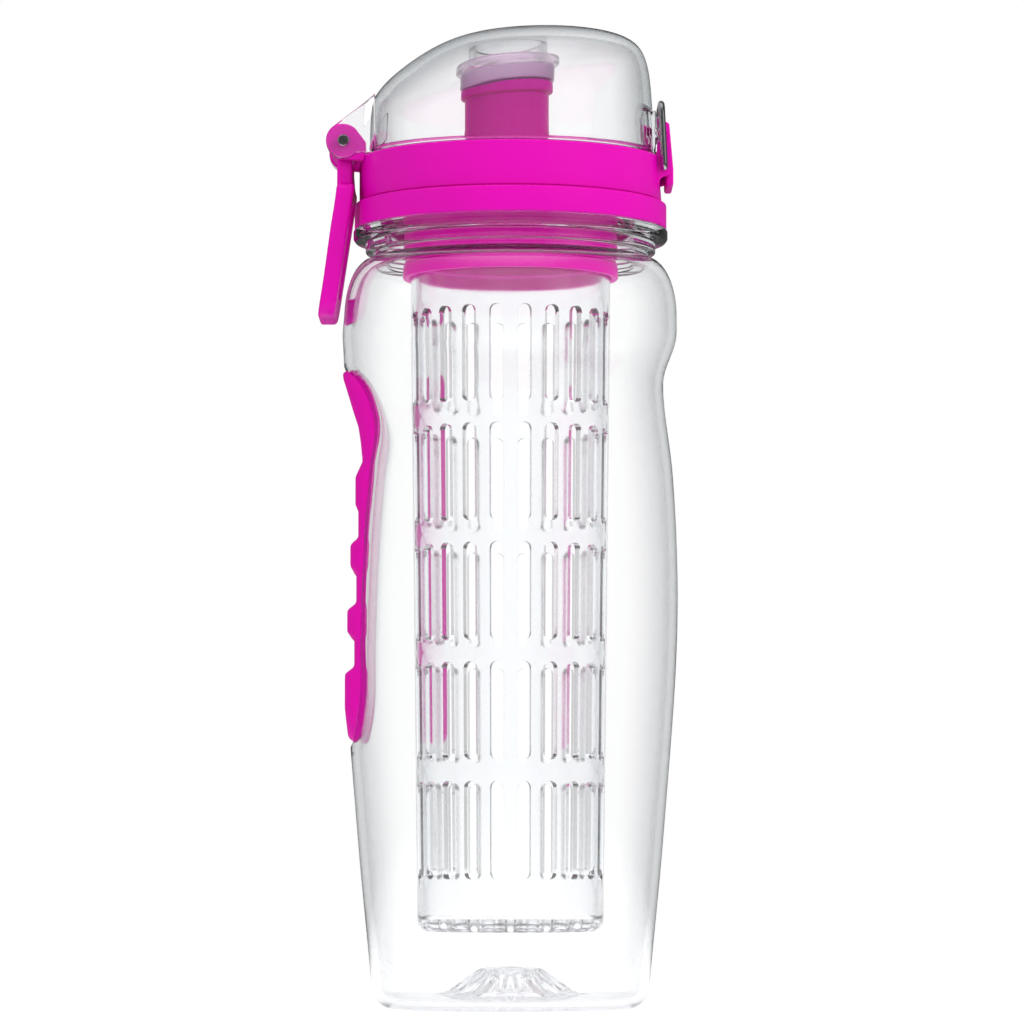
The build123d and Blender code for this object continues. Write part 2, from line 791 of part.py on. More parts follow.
# A torsion spring wound round the pin between the button's boss and a lug, both legs down
spring_start = boss_half_width + clearance + spring_wire / 2
spring_plane = Plane((latch_pin_x, spring_start, latch_pin_z), x_dir=(1, 0, 0), z_dir=(0, 1, 0))
with BuildPart() as latch_spring:
    with BuildLine():
        coil = Helix(
            pitch=spring_pitch,
            height=spring_pitch * spring_turns,
            radius=spring_radius,
            lefthand=True,
            mode=Mode.PRIVATE,
        )
        turn = spring_plane.from_local_coords(coil)
        add(turn)
    with BuildSketch(Plane(turn @ 0, z_dir=turn % 0)):
        Circle(spring_wire / 2)
    sweep(path=turn, is_frenet=True)
    for end, way in ((0, -1), (1, 1)):
        with BuildSketch(Plane(turn @ end, z_dir=turn % end)):
            Circle(spring_wire / 2)
        extrude(amount=way * spring_leg)
latch_spring.part.label = "latch_spring"

with BuildPart() as wire_bail:
    bail_lean = (bail_top_x - bail_pivot_x) / (bail_top_z - bail_pivot_z)
    bail_shoulder_z = bail_top_z - bail_corner
    bail_plane = Plane(
        (bail_pivot_x, 0, bail_pivot_z),
        x_dir=(0, 1, 0),
        z_dir=(1, 0, -bail_lean),
    )
    bail_length = sqrt((bail_top_x - bail_pivot_x) ** 2 + (bail_top_z - bail_pivot_z) ** 2)
    bail_tip = latch_lug_inner + clearance
    with BuildLine(bail_plane) as bail_path:
        FilletPolyline(
            (-bail_tip, 0),
            (-bail_half_width, 0),
            (-bail_half_width, bail_length),
            (bail_half_width, bail_length),
            (bail_half_width, 0),
            (bail_tip, 0),
            radius=(bail_bend, bail_corner, bail_corner, bail_bend),
        )
    with BuildSketch(Plane(bail_path.line @ 0, z_dir=bail_path.line % 0)):
        Circle(bail_wire / 2)
    sweep(path=bail_path.line)
wire_bail.part.label = "wire_bail"

basket_socket = basket_head_radius + seat_gap
with BuildPart() as infuser_collar:
    with BuildSketch(Plane.XZ):
        Polygon(
            (basket_socket, collar_flange_foot),
            (collar_flange_radius - edge_break, collar_flange_foot),
            (collar_flange_radius, collar_flange_foot + edge_break),
            (collar_flange_radius, collar_flange_head - edge_break),
            (collar_flange_radius - edge_break, collar_flange_head),
            (sleeve_radius, collar_flange_head),
            (sleeve_radius, collar_sleeve_head - edge_break),
            (sleeve_radius - edge_break, collar_sleeve_head),
            (sleeve_bore, collar_sleeve_head),
            (sleeve_bore, basket_head + seat_gap),
            (basket_socket, basket_head + seat_gap),
        )
    revolve(axis=Axis.Z)
    add(
        helical_rib(
            sleeve_radius, screw_depth, screw_width, screw_pitch, thread_turns,
            collar_flange_head + thread_lead + screw_width / 2, True,
        )
    )
infuser_collar.part.label = "infuser_collar"

slot_rows_at = [slot_first_row + slot_row_spacing * row for row in range(slot_rows)]
slot_root = basket_foot_radius - basket_wall - overrun / 2
slot_planes = []
for row_height in slot_rows_at:
    for slot in range(slots_per_row):
        turn_angle = 2 * pi * slot / slots_per_row
        outward = (cos(turn_angle), sin(turn_angle), 0)
        across = (-sin(turn_angle), cos(turn_angle), 0)
        place = (slot_root * outward[0], slot_root * outward[1], row_height)
        slot_planes.append(Plane(place, x_dir=across, z_dir=outward))

with BuildPart() as infuser_basket:
    with BuildSketch(Plane.XZ):
        with BuildLine():
            Polyline(
                (0, basket_foot),
                (basket_foot_radius - basket_corner, basket_foot),
            )
            TangentArc(
                (basket_foot_radius - basket_corner, basket_foot),
                (basket_foot_radius, basket_foot + basket_corner),
                tangent=(1, 0),
            )
            Polyline(
                (basket_foot_radius, basket_foot + basket_corner),
                (basket_head_radius, basket_head),
                (basket_head_radius - basket_wall, basket_head),
                (basket_foot_radius - basket_wall, basket_foot + basket_floor),
                (0, basket_foot + basket_floor),
                (0, basket_foot),
            )
        make_face()
    revolve(axis=Axis.Z)
    with BuildSketch(*slot_planes):
        SlotOverall(slot_length, slot_width, rotation=90)
    extrude(amount=basket_head_radius - slot_root + overrun / 2, mode=Mode.SUBTRACT)
    with BuildSketch(Plane.XY.offset(basket_foot - overrun)):
        with PolarLocations(drain_circle, drain_count):
            Circle(drain_radius)
        with PolarLocations(drain_inner_circle, drain_inner_count):
            Circle(drain_radius)
        Circle(drain_radius)
    extrude(amount=basket_floor + 2 * overrun, mode=Mode.SUBTRACT)
infuser_basket.part.label = "infuser_basket"

export_step(bottle_body.part, "parts/bottle_body.step")
export_step(bottle_neck.part, "parts/bottle_neck.step")
export_step(side_grip.part, "parts/side_grip.step")
export_step(lid_base.part, "parts/lid_base.step")
export_step(lid_gasket.part, "parts/lid_gasket.step")
export_step(vent_valve.part, "parts/vent_valve.step")
export_step(flip_cover.part, "parts/flip_cover.step")
export_step(spout_plug.part, "parts/spout_plug.step")
export_step(hinge_pin.part, "parts/hinge_pin.step")
export_step(carry_handle.part, "parts/carry_handle.step")
export_step(latch_button.part, "parts/latch_button.step")
export_step(latch_pin.part, "parts/latch_pin.step")
export_step(latch_spring.part, "parts/latch_spring.step")
export_step(wire_bail.part, "parts/wire_bail.step")
export_step(infuser_collar.part, "parts/infuser_collar.step")
export_step(infuser_basket.part, "parts/infuser_basket.step")
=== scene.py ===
"""The looks of an infuser bottle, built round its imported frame."""
import logging
import math
from dataclasses import dataclass
from enum import Enum
from typing import Iterable, Optional, Sequence

import bmesh
import bpy
import numpy as np
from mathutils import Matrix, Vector

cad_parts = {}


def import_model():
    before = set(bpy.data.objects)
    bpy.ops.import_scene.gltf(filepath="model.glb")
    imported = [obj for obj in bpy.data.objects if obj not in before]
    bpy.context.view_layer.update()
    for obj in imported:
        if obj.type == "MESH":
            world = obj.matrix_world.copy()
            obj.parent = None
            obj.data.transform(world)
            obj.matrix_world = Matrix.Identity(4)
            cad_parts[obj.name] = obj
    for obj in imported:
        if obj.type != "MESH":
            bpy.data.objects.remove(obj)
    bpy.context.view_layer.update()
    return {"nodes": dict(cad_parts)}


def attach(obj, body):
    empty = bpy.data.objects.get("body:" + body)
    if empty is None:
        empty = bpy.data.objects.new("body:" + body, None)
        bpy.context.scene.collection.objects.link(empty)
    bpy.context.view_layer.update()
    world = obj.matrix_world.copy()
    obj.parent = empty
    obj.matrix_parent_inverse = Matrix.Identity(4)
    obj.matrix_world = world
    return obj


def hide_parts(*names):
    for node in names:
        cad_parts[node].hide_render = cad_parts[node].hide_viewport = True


LOG = logging.getLogger("bottle")
MM = 0.001
TURN = 2 * math.pi
Point = tuple[float, float]


class Body(Enum):
    """The moving bodies that pieces ride on."""

    BOTTLE = "bottle"
    LID = "lid"
    SEAL = "seal"
    COVER = "cover"
    HANDLE = "handle"
    BUTTON = "button"
    BAIL = "bail"
    INFUSER = "infuser"


class Slot(Enum):
    """The record's material slots."""

    CLEAR = "clear_copolyester"
    GRIP = "grip_elastomer"
    MAGENTA = "magenta_polypropylene"
    SILICONE = "seal_silicone"
    STEEL = "stainless_steel"


class Solid(Enum):
    """How one solid changes another."""

    ADD = "UNION"
    CUT = "DIFFERENCE"
    KEEP = "INTERSECT"


# Lines, in millimetres


def unit(vector: Sequence[float]) -> np.ndarray:
    """The vector at length one."""
    array = np.array(vector, float)
    return array / np.linalg.norm(array)


def smooth_line(
    points: Sequence[Sequence[float]],
    spans: int,
    start: Optional[Sequence[float]] = None,
    end: Optional[Sequence[float]] = None,
) -> np.ndarray:
    """A smooth line through points.

    Args:
        points: The points that the line passes.
        spans: How many steps each stretch between two points gets.
        start: The line's direction at its first point, if it matters.
        end: The line's direction at its last point, if it matters.

    Returns:
        The line's points, the last one included.
    """
    place = np.array(points, float)
    gaps = np.linalg.norm(np.diff(place, axis=0), axis=1)
    slopes = np.diff(place, axis=0) / gaps[:, None]
    way = np.empty_like(place)
    if len(place) > 2:
        before, after = gaps[:-1, None], gaps[1:, None]
        way[1:-1] = (slopes[:-1] * after + slopes[1:] * before) / (before + after)
    way[0] = slopes[0] if start is None else unit(start)
    way[-1] = slopes[-1] if end is None else unit(end)
    line = []
    for index, gap in enumerate(gaps):
        for t in np.linspace(0, 1, spans, endpoint=False):
            line.append(
                (2 * t**3 - 3 * t**2 + 1) * place[index]
                + (t**3 - 2 * t**2 + t) * gap * way[index]
                + (3 * t**2 - 2 * t**3) * place[index + 1]
                + (t**3 - t**2) * gap * way[index + 1]
            )
    return np.array([*line, place[-1]])


def even_steps(line: np.ndarray, step: float) -> np.ndarray:
    """The same line with points about a step apart."""
    lengths = np.concatenate([[0], np.cumsum(np.linalg.norm(np.diff(line, axis=0), axis=1))])
    count = max(int(round(lengths[-1] / step)), 1)
    places = np.linspace(0, lengths[-1], count + 1)
    return np.stack([np.interp(places, lengths, line[:, axis]) for axis in range(line.shape[1])], axis=1)


def rounded(points: Sequence[Sequence[float]], radius: float, closed: bool = False, steps: int = 4) -> np.ndarray:
    """A line whose corners are rounded.

    Args:
        points: The corners.
        radius: The rounding, made smaller where a side is short.
        closed: Whether the last corner joins the first.
        steps: How many stretches each rounding gets.

    Returns:
        The rounded line's points.
    """
    corners = [np.array(point, float) for point in points]
    count = len(corners)
    line = []
    for index, corner in enumerate(corners):
        if not closed and index in (0, count - 1):
            line.append(corner)
            continue
        back, ahead = corners[index - 1] - corner, corners[(index + 1) % count] - corner
        turn = math.acos(max(-1.0, min(1.0, float(unit(back) @ unit(ahead)))))
        if turn > math.radians(175):
            line.append(corner)
            continue
        reach = min(radius / math.tan(turn / 2), 0.45 * np.linalg.norm(back), 0.45 * np.linalg.norm(ahead))
        first, last = corner + unit(back) * reach, corner + unit(ahead) * reach
        for t in np.linspace(0, 1, steps + 1):
            line.append((1 - t) ** 2 * first + 2 * t * (1 - t) * corner + t**2 * last)
    return np.array(line)


def soft_least(first: np.ndarray, second: np.ndarray, blend: float) -> np.ndarray:
    """The lesser of two values, with a smooth change over between them."""
    share = np.clip(0.5 + 0.5 * (second - first) / blend, 0, 1)
    return second * (1 - share) + first * share - blend * share * (1 - share)


# Meshes


def make_piece(
    name: str,
    points: Iterable[Sequence[float]],
    faces: Iterable[Sequence[int]],
    crease: float = 38.0,
) -> bpy.types.Object:
    """A mesh object from points in millimetres.

    Args:
        name: The piece's name.
        points: Its corners.
        faces: Its faces, as indices of corners.
        crease: Edges that turn by more degrees than this stay sharp.

    Returns:
        The new object, at the origin.
    """
    mesh = bpy.data.meshes.new(name)
    mesh.from_pydata([tuple(float(value) * MM for value in point) for point in points], [], list(faces))
    form = bmesh.new()
    form.from_mesh(mesh)
    bmesh.ops.remove_doubles(form, verts=form.verts, dist=1e-6)
    bmesh.ops.recalc_face_normals(form, faces=form.faces)
    form.to_mesh(mesh)
    form.free()
    piece = bpy.data.objects.new(name, mesh)
    bpy.context.scene.collection.objects.link(piece)
    shade(piece, crease)
    return piece


def shade(piece: bpy.types.Object, crease: float) -> None:
    """Smooth shading, with sharp edges where the surface turns by more than crease degrees."""
    piece.data.shade_smooth()
    piece.data.set_sharp_from_angle(angle=math.radians(crease))


def revolve(line: np.ndarray, segments: int, centre: Point = (0.0, 0.0)) -> np.ndarray:
    """A grid of points: a line of radius and height turned about an upright axis.

    Args:
        line: Radius and height of each ring.
        segments: How many points each ring gets.
        centre: Where the axis stands.

    Returns:
        An array of rings, segments and coordinates.
    """
    angles = np.linspace(0, TURN, segments, endpoint=False)
    radii, heights = line[:, :1], line[:, 1:]
    across = centre[0] + radii * np.cos(angles)
    along = centre[1] + radii * np.sin(angles)
    return np.stack([across, along, heights + 0 * angles], axis=2)


def skin(name: str, grid: np.ndarray, closed: bool = False, crease: float = 38.0) -> bpy.types.Object:
    """A piece from a grid of rings.

    Args:
        name: The piece's name.
        grid: Rings, segments and coordinates, in millimetres.
        closed: Whether the last ring joins the first.
        crease: Edges that turn by more degrees than this stay sharp.

    Returns:
        The new object.
    """
    rings, segments = grid.shape[:2]
    faces = []
    for ring in range(rings if closed else rings - 1):
        above = (ring + 1) % rings
        for segment in range(segments):
            beside = (segment + 1) % segments
            faces.append(
                (
                    ring * segments + segment,
                    ring * segments + beside,
                    above * segments + beside,
                    above * segments + segment,
                )
            )
    return make_piece(name, grid.reshape(-1, 3), faces, crease)


def prism(name: str, outline: np.ndarray, low: float, high: float, bevel: float) -> bpy.types.Object:
    """A flat plate with rounded rims.

    Args:
        name: The piece's name.
        outline: Its corners, as X and Z.
        low: Where it starts along Y.
        high: Where it ends.
        bevel: The rounding of its rims.

    Returns:
        The new object.
    """
    count = len(outline)
    points = []
    for side in (low, high):
        for u, v in outline:
            points.append((u, side, v))
    faces = [tuple(range(count)), tuple(range(count, 2 * count))]
    for index in range(count):
        beside = (index + 1) % count
        faces.append((index, beside, count + beside, count + index))
    piece = make_piece(name, points, faces)
    if bevel > 0:
        form = bmesh.new()
        form.from_mesh(piece.data)
        rims = [edge for edge in form.edges if any(len(face.verts) == count for face in edge.link_faces)]
        bmesh.ops.bevel(
            form, geom=rims, offset=bevel * MM, segments=3, profile=0.5, affect="EDGES", clamp_overlap=True
        )
        form.to_mesh(piece.data)
        form.free()
        shade(piece, 38.0)
    return piece


def tube(name: str, path: np.ndarray, radius: float, sides: int = 16) -> bpy.types.Object:
    """A round wire along a path, with flat ends.

    Args:
        name: The piece's name.
        path: The wire's centre line, in millimetres.
        radius: The wire's radius.
        sides: How many points go round it.

    Returns:
        The new object.
    """
    ways = np.gradient(path, axis=0)
    side = unit(np.cross(ways[0], (0.3, 0.2, 0.9)))
    rings = [np.repeat(path[:1], sides, axis=0)]
    for place, way in zip(path, ways):
        way = unit(way)
        side = unit(side - way * (side @ way))
        other = np.cross(way, side)
        angles = np.linspace(0, TURN, sides, endpoint=False)[:, None]
        rings.append(place + radius * (np.cos(angles) * side + np.sin(angles) * other))
    rings.append(np.repeat(path[-1:], sides, axis=0))
    return skin(name, np.array(rings), crease=50.0)


def combine(piece: bpy.types.Object, tool: bpy.types.Object, how: Solid, crease: float = 38.0) -> bpy.types.Object:
    """Adds a solid to a piece, or cuts it out, and deletes the tool.

    Args:
        piece: The piece that changes.
        tool: The other solid.
        how: Whether it is added, cut out, or kept only where both are.
        crease: Edges that turn by more degrees than this stay sharp.

    Returns:
        The changed piece.
    """
    change = piece.modifiers.new("change", "BOOLEAN")
    change.operation = how.value
    change.solver = "EXACT"
    change.object = tool
    bpy.context.view_layer.update()
    result = bpy.data.meshes.new_from_object(piece.evaluated_get(bpy.context.evaluated_depsgraph_get()))
    piece.modifiers.clear()
    result.name = piece.name
    piece.data = result
    bpy.data.objects.remove(tool)
    shade(piece, crease)
    return piece


def join(pieces: Sequence[bpy.types.Object]) -> bpy.types.Object:
    """Puts the meshes of several pieces into the first one."""
    form = bmesh.new()
    for piece in pieces:
        form.from_mesh(piece.data)
    form.to_mesh(pieces[0].data)
    form.free()
    for piece in pieces[1:]:
        bpy.data.objects.remove(piece)
    shade(pieces[0], 38.0)
    return pieces[0]


def rod(
    name: str,
    radius: float,
    centre: tuple[float, float],
    low: float,
    high: float,
    dome: float = 0.0,
) -> bpy.types.Object:
    """A round rod along Y.

    Args:
        name: The piece's name.
        radius: Its radius.
        centre: Its axis, as X and Z.
        low: Where it starts along Y.
        high: Where it ends.
        dome: The rounding of its ends.

    Returns:
        The new object.
    """
    line = rounded([(0, low), (radius, low), (radius, high), (0, high)], dome) if dome else None
    if line is None:
        line = np.array([(0, low), (radius, low), (radius, high), (0, high)], float)
    grid = revolve(line, 48)
    turned = np.stack([centre[0] + grid[..., 0], grid[..., 2], centre[1] + grid[..., 1]], axis=2)
    return skin(name, turned)


# Materials


def linear(colour: str) -> tuple[float, float, float, float]:
    """A colour in sRGB hex, such as #E606B6, as linear red, green, blue and alpha."""
    parts = [int(colour[start:start + 2], 16) / 255 for start in (1, 3, 5)]
    red, green, blue = [part / 12.92 if part <= 0.04045 else ((part + 0.055) / 1.055) ** 2.4 for part in parts]
    return red, green, blue, 1.0


def add_node(
    tree: bpy.types.NodeTree,
    kind: str,
    settings: Optional[dict[str, object]] = None,
    links: Optional[dict[object, bpy.types.NodeSocket]] = None,
) -> bpy.types.Node:
    """Adds a node with its settings and links.

    Args:
        tree: The node tree.
        kind: The node's type.
        settings: Values of the node's properties or, by name, of its inputs.
        links: The output that feeds each input, by the input's name or number.

    Returns:
        The new node.
    """
    node = tree.nodes.new(kind)
    for name, value in (settings or {}).items():
        if hasattr(node, name):
            setattr(node, name, value)
        else:
            node.inputs[name].default_value = value
    for name, socket in (links or {}).items():
        tree.links.new(socket, node.inputs[name])
    return node


def per_mm(size: float) -> float:
    """A texture's scale for a pattern that repeats every size millimetres."""
    return 1 / (size * MM)


def mix_colours(
    tree: bpy.types.NodeTree,
    share: bpy.types.NodeSocket,
    first: str,
    second: str,
) -> bpy.types.NodeSocket:
    """Mixes two colours.

    Args:
        tree: The node tree.
        share: How much of the second colour there is.
        first: The first colour, in hex.
        second: The second colour, in hex.

    Returns:
        The output with the mixed colour.
    """
    mixer = add_node(tree, "ShaderNodeMix", {"data_type": "RGBA"}, {"Factor": share})
    first_input, second_input = [socket for socket in mixer.inputs if socket.type == "RGBA"]
    first_input.default_value = linear(first)
    second_input.default_value = linear(second)
    return next(socket for socket in mixer.outputs if socket.type == "RGBA")


def let_light_pass(tree: bpy.types.NodeTree, solid: bpy.types.Node, colour: str) -> bpy.types.Node:
    """Lets lamps and the room's soft light shine through a clear surface, tinted by its colour.

    Args:
        tree: The node tree.
        solid: The surface's shader.
        colour: The tint, in hex.

    Returns:
        The shader that does both.
    """
    rays = add_node(tree, "ShaderNodeLightPath")
    either = add_node(
        tree,
        "ShaderNodeMath",
        {"operation": "MAXIMUM"},
        {0: rays.outputs["Is Shadow Ray"], 1: rays.outputs["Is Diffuse Ray"]},
    )
    passing = add_node(tree, "ShaderNodeBsdfTransparent", {"Color": linear(colour)})
    return add_node(
        tree, "ShaderNodeMixShader", {}, {0: either.outputs[0], 1: solid.outputs["BSDF"], 2: passing.outputs["BSDF"]}
    )


@dataclass(frozen=True)
class Finish:
    """What all finishes share: a name, a colour, a gloss and the coordinates of their patterns."""

    name: str
    colour: str
    roughness: float

    def material(self) -> bpy.types.Material:
        """The finish as a material, made once."""
        made = bpy.data.materials.get(self.name)
        if made is not None:
            return made
        made = bpy.data.materials.new(self.name)
        made.use_nodes = True
        tree = made.node_tree
        tree.nodes.clear()
        place = add_node(tree, "ShaderNodeTexCoord").outputs["Object"]
        output = add_node(tree, "ShaderNodeOutputMaterial")
        self.build(tree, place, output)
        return made

    def build(self, tree: bpy.types.NodeTree, place: bpy.types.NodeSocket, output: bpy.types.Node) -> None:
        """Fills the node tree.

        Args:
            tree: The material's node tree.
            place: The coordinates for patterns, in metres.
            output: The material's output node.
        """
        raise NotImplementedError


@dataclass(frozen=True)
class ClearMoulding(Finish):
    """Copolyester moulded in a polished tool: clear, with a faint flow waviness, greyer thick edges, and a painted
    grey shade where the wall is seen edge on.
    """

    ior: float = 1.54
    flow_mm: float = 24.0
    flow_height_mm: float = 0.05
    edge_density: float = 9.0
    edge_colour: str = "#B9C2C6"
    # Painted shade: the grey that the wall's colour is mixed towards where it is seen edge on, and the facing where
    # that starts
    edge_depth_and_shade_colour: str = "#A2A8AC"
    edge_shade_from: float = 0.32

    def build(self, tree: bpy.types.NodeTree, place: bpy.types.NodeSocket, output: bpy.types.Node) -> None:
        """Fills the node tree.

        Args:
            tree: The material's node tree.
            place: The coordinates for patterns, in metres.
            output: The material's output node.
        """
        # Slow swells of the melt bend what is seen through the wall
        flow = add_node(tree, "ShaderNodeTexNoise", {"Scale": per_mm(self.flow_mm), "Detail": 1.0}, {"Vector": place})
        swell = add_node(
            tree,
            "ShaderNodeBump",
            {"Strength": 0.6, "Distance": self.flow_height_mm * MM},
            {"Height": flow.outputs["Fac"]}
        )
        # Handling leaves a little haze in soft patches
        haze = add_node(
            tree,
            "ShaderNodeMapRange",
            {"To Min": self.roughness * 0.5, "To Max": self.roughness * 1.6},
            {"Value": flow.outputs["Fac"]},
        )
        # Painted shade: where the wall turns away and is seen edge on, its colour is mixed towards a grey, on top of
        # the real greying by depth below
        turned = add_node(tree, "ShaderNodeLayerWeight", {"Blend": 0.5})
        rim = add_node(tree, "ShaderNodeMapRange", {"From Min": self.edge_shade_from}, {"Value": turned.outputs["Facing"]})
        tint = mix_colours(tree, rim.outputs["Result"], self.colour, self.edge_depth_and_shade_colour)
        wall = add_node(
            tree,
            "ShaderNodeBsdfPrincipled",
            {"IOR": self.ior, "Transmission Weight": 1.0},
            {"Base Color": tint, "Roughness": haze.outputs["Result"], "Normal": swell.outputs["Normal"]},
        )
        surface = let_light_pass(tree, wall, self.colour)
        tree.links.new(surface.outputs["Shader"], output.inputs["Surface"])
        # A long way through the wall is greyer, which draws the outlines
        depth = add_node(
            tree, "ShaderNodeVolumeAbsorption", {"Color": linear(self.edge_colour), "Density": self.edge_density}
        )
        tree.links.new(depth.outputs["Volume"], output.inputs["Volume"])


@dataclass(frozen=True)
class MouldedPolypropylene(Finish):
    """Polypropylene moulded in a finely eroded tool: saturated colour, soft broad highlights."""

    shade: str = "#C8049A"
    ior: float = 1.49
    grain_mm: float = 0.35
    grain_height_mm: float = 0.006
    cloud_mm: float = 16.0
    shine: float = 0.14

    def build(self, tree: bpy.types.NodeTree, place: bpy.types.NodeSocket, output: bpy.types.Node) -> None:
        """Fills the node tree.

        Args:
            tree: The material's node tree.
            place: The coordinates for patterns, in metres.
            output: The material's output node.
        """
        # The pigment isn't quite even: soft clouds a shade darker
        cloud = add_node(
            tree,
            "ShaderNodeTexNoise",
            {"Scale": per_mm(self.cloud_mm), "Detail": 3.0},
            {"Vector": place},
        )
        amount = add_node(
            tree,
            "ShaderNodeMapRange",
            {"From Min": 0.35, "From Max": 0.75, "To Max": 0.22},
            {"Value": cloud.outputs["Fac"]}
        )
        pigment = mix_colours(tree, amount.outputs["Result"], self.colour, self.shade)
        # The eroded tool's grain, drawn coarser than its true 0.03 mm so that it shows
        grain = add_node(
            tree,
            "ShaderNodeTexNoise",
            {"Scale": per_mm(self.grain_mm), "Detail": 4.0},
            {"Vector": place},
        )
        bump = add_node(
            tree,
            "ShaderNodeBump",
            {"Strength": 0.5, "Distance": self.grain_height_mm * MM},
            {"Height": grain.outputs["Fac"]}
        )
        gloss = add_node(
            tree,
            "ShaderNodeMapRange",
            {"To Min": self.roughness - 0.06, "To Max": self.roughness + 0.08},
            {"Value": cloud.outputs["Fac"]},
        )
        surface = add_node(
            tree,
            "ShaderNodeBsdfPrincipled",
            {
                "IOR": self.ior,
                "Specular IOR Level": self.shine,
                "Subsurface Weight": 0.03,
                "Subsurface Scale": 0.8 * MM,
            },
            {"Base Color": pigment, "Roughness": gloss.outputs["Result"], "Normal": bump.outputs["Normal"]},
        )
        tree.links.new(surface.outputs["BSDF"], output.inputs["Surface"])


@dataclass(frozen=True)
class SoftGrip(MouldedPolypropylene):
    """Thermoplastic elastomer moulded over the wall: the same colour, matt and a little velvety."""


@dataclass(frozen=True)
class MouldedSilicone(Finish):
    """Translucent silicone from a matt tool: milky, with what is behind it showing soft."""

    ior: float = 1.41
    milk_mm: float = 5.0
    clearness: float = 0.6
    # Painted deeper where its rims are seen edge on: partly the real depth of silicone behind them, partly painted
    # shade
    edge_depth_and_shade_colour: str = "#8F7C94"

    def build(self, tree: bpy.types.NodeTree, place: bpy.types.NodeSocket, output: bpy.types.Node) -> None:
        """Fills the node tree.

        Args:
            tree: The material's node tree.
            place: The coordinates for patterns, in metres.
            output: The material's output node.
        """
        milk = add_node(tree, "ShaderNodeTexNoise", {"Scale": per_mm(self.milk_mm), "Detail": 2.0}, {"Vector": place})
        gloss = add_node(
            tree,
            "ShaderNodeMapRange",
            {"To Min": self.roughness - 0.05, "To Max": self.roughness + 0.05},
            {"Value": milk.outputs["Fac"]},
        )
        bump = add_node(
            tree,
            "ShaderNodeBump",
            {"Strength": 0.2, "Distance": 0.03 * MM},
            {"Height": milk.outputs["Fac"]},
        )
        # Its rims are painted deeper in colour where seen edge on: partly because more of it lies behind them, partly
        # as painted shade
        turned = add_node(tree, "ShaderNodeLayerWeight", {"Blend": 0.5})
        rim = add_node(tree, "ShaderNodeMapRange", {"From Min": 0.35}, {"Value": turned.outputs["Facing"]})
        body = add_node(
            tree,
            "ShaderNodeBsdfPrincipled",
            {"IOR": self.ior, "Transmission Weight": self.clearness},
            {
                "Base Color": mix_colours(tree, rim.outputs["Result"], self.colour, self.edge_depth_and_shade_colour),
                "Roughness": gloss.outputs["Result"],
                "Normal": bump.outputs["Normal"],
            },
        )
        surface = let_light_pass(tree, body, self.colour)
        tree.links.new(surface.outputs["Shader"], output.inputs["Surface"])


@dataclass(frozen=True)
class DrawnSteel(Finish):
    """Stainless steel drawn through a die: bright, with fine lines along the wire."""

    draw_mm: float = 0.25

    def build(self, tree: bpy.types.NodeTree, place: bpy.types.NodeSocket, output: bpy.types.Node) -> None:
        """Fills the node tree.

        Args:
            tree: The material's node tree.
            place: The coordinates for patterns, in metres.
            output: The material's output node.
        """
        stretched = add_node(tree, "ShaderNodeMapping", {"Scale": (1.0, 0.06, 0.06)}, {"Vector": place})
        lines = add_node(
            tree,
            "ShaderNodeTexNoise",
            {"Scale": per_mm(self.draw_mm), "Detail": 3.0},
            {"Vector": stretched.outputs["Vector"]}
        )
        bump = add_node(
            tree,
            "ShaderNodeBump",
            {"Strength": 0.3, "Distance": 0.004 * MM},
            {"Height": lines.outputs["Fac"]},
        )
        gloss = add_node(
            tree,
            "ShaderNodeMapRange",
            {"To Min": self.roughness - 0.06, "To Max": self.roughness + 0.1},
            {"Value": lines.outputs["Fac"]},
        )
        surface = add_node(
            tree,
            "ShaderNodeBsdfPrincipled",
            {"Base Color": linear(self.colour), "Metallic": 1.0},
            {"Roughness": gloss.outputs["Result"], "Normal": bump.outputs["Normal"]},
        )
        tree.links.new(surface.outputs["BSDF"], output.inputs["Surface"])


# Nearly colourless, with soft grey outlines where the wall is seen edge on: partly absorption in the wall, partly a
# painted grey shade
CLEAR_WALL = ClearMoulding(
    "clear_copolyester_blow_moulded",
    "#FEFEFE",
    0.012,
    edge_density=17.0,
    edge_depth_and_shade_colour="#BCC1C5",
)
# The same plastic from a polished tool: crisper, with darker outlines at its thick rim, from absorption and from a
# darker painted shade where it is seen edge on
CLEAR_COVER = ClearMoulding(
    "clear_copolyester_injection_moulded",
    "#FEFEFE",
    0.01,
    flow_mm=18.0,
    edge_density=52.0,
    edge_depth_and_shade_colour="#767D83",
)
# A little hazy, so that the slots' edges read pale rather than dark; its painted shade where it is seen edge on is a
# pale grey
CLEAR_BASKET = ClearMoulding(
    "clear_copolyester_basket_moulded",
    "#FDFEFF",
    0.07,
    flow_mm=12.0,
    edge_density=4.0,
    edge_depth_and_shade_colour="#C3C9D4",
    edge_shade_from=0.5,
)
# Strong flat magenta with a broad soft sheen
MAGENTA = MouldedPolypropylene("magenta_polypropylene_moulded", "#D003A4", 0.34, shade="#BC0292")
# A copy of the magenta painted brighter, as painted light where it is seen through the clear neck, and duller in its
# shine
PAINTED_LIGHT_MAGENTA = MouldedPolypropylene(
    "magenta_polypropylene_painted_light",
    "#DE02AA",
    0.3,
    shade="#CC029A",
    shine=0.04,
)
# A copy of the magenta painted deeper, as painted shade, so that it still looks full in colour behind the clear cover
PAINTED_SHADE_MAGENTA = MouldedPolypropylene(
    "magenta_polypropylene_painted_shade",
    "#B2028A",
    0.3,
    shade="#A00278",
    shine=0.04,
)
# Matt and soft to the eye, a shade below the hard plastic
GRIP = SoftGrip(
    "magenta_elastomer_overmoulded",
    "#C80598",
    0.55,
    shade="#AE0484",
    ior=1.5,
    grain_mm=0.6,
    grain_height_mm=0.012,
    shine=0.1,
)
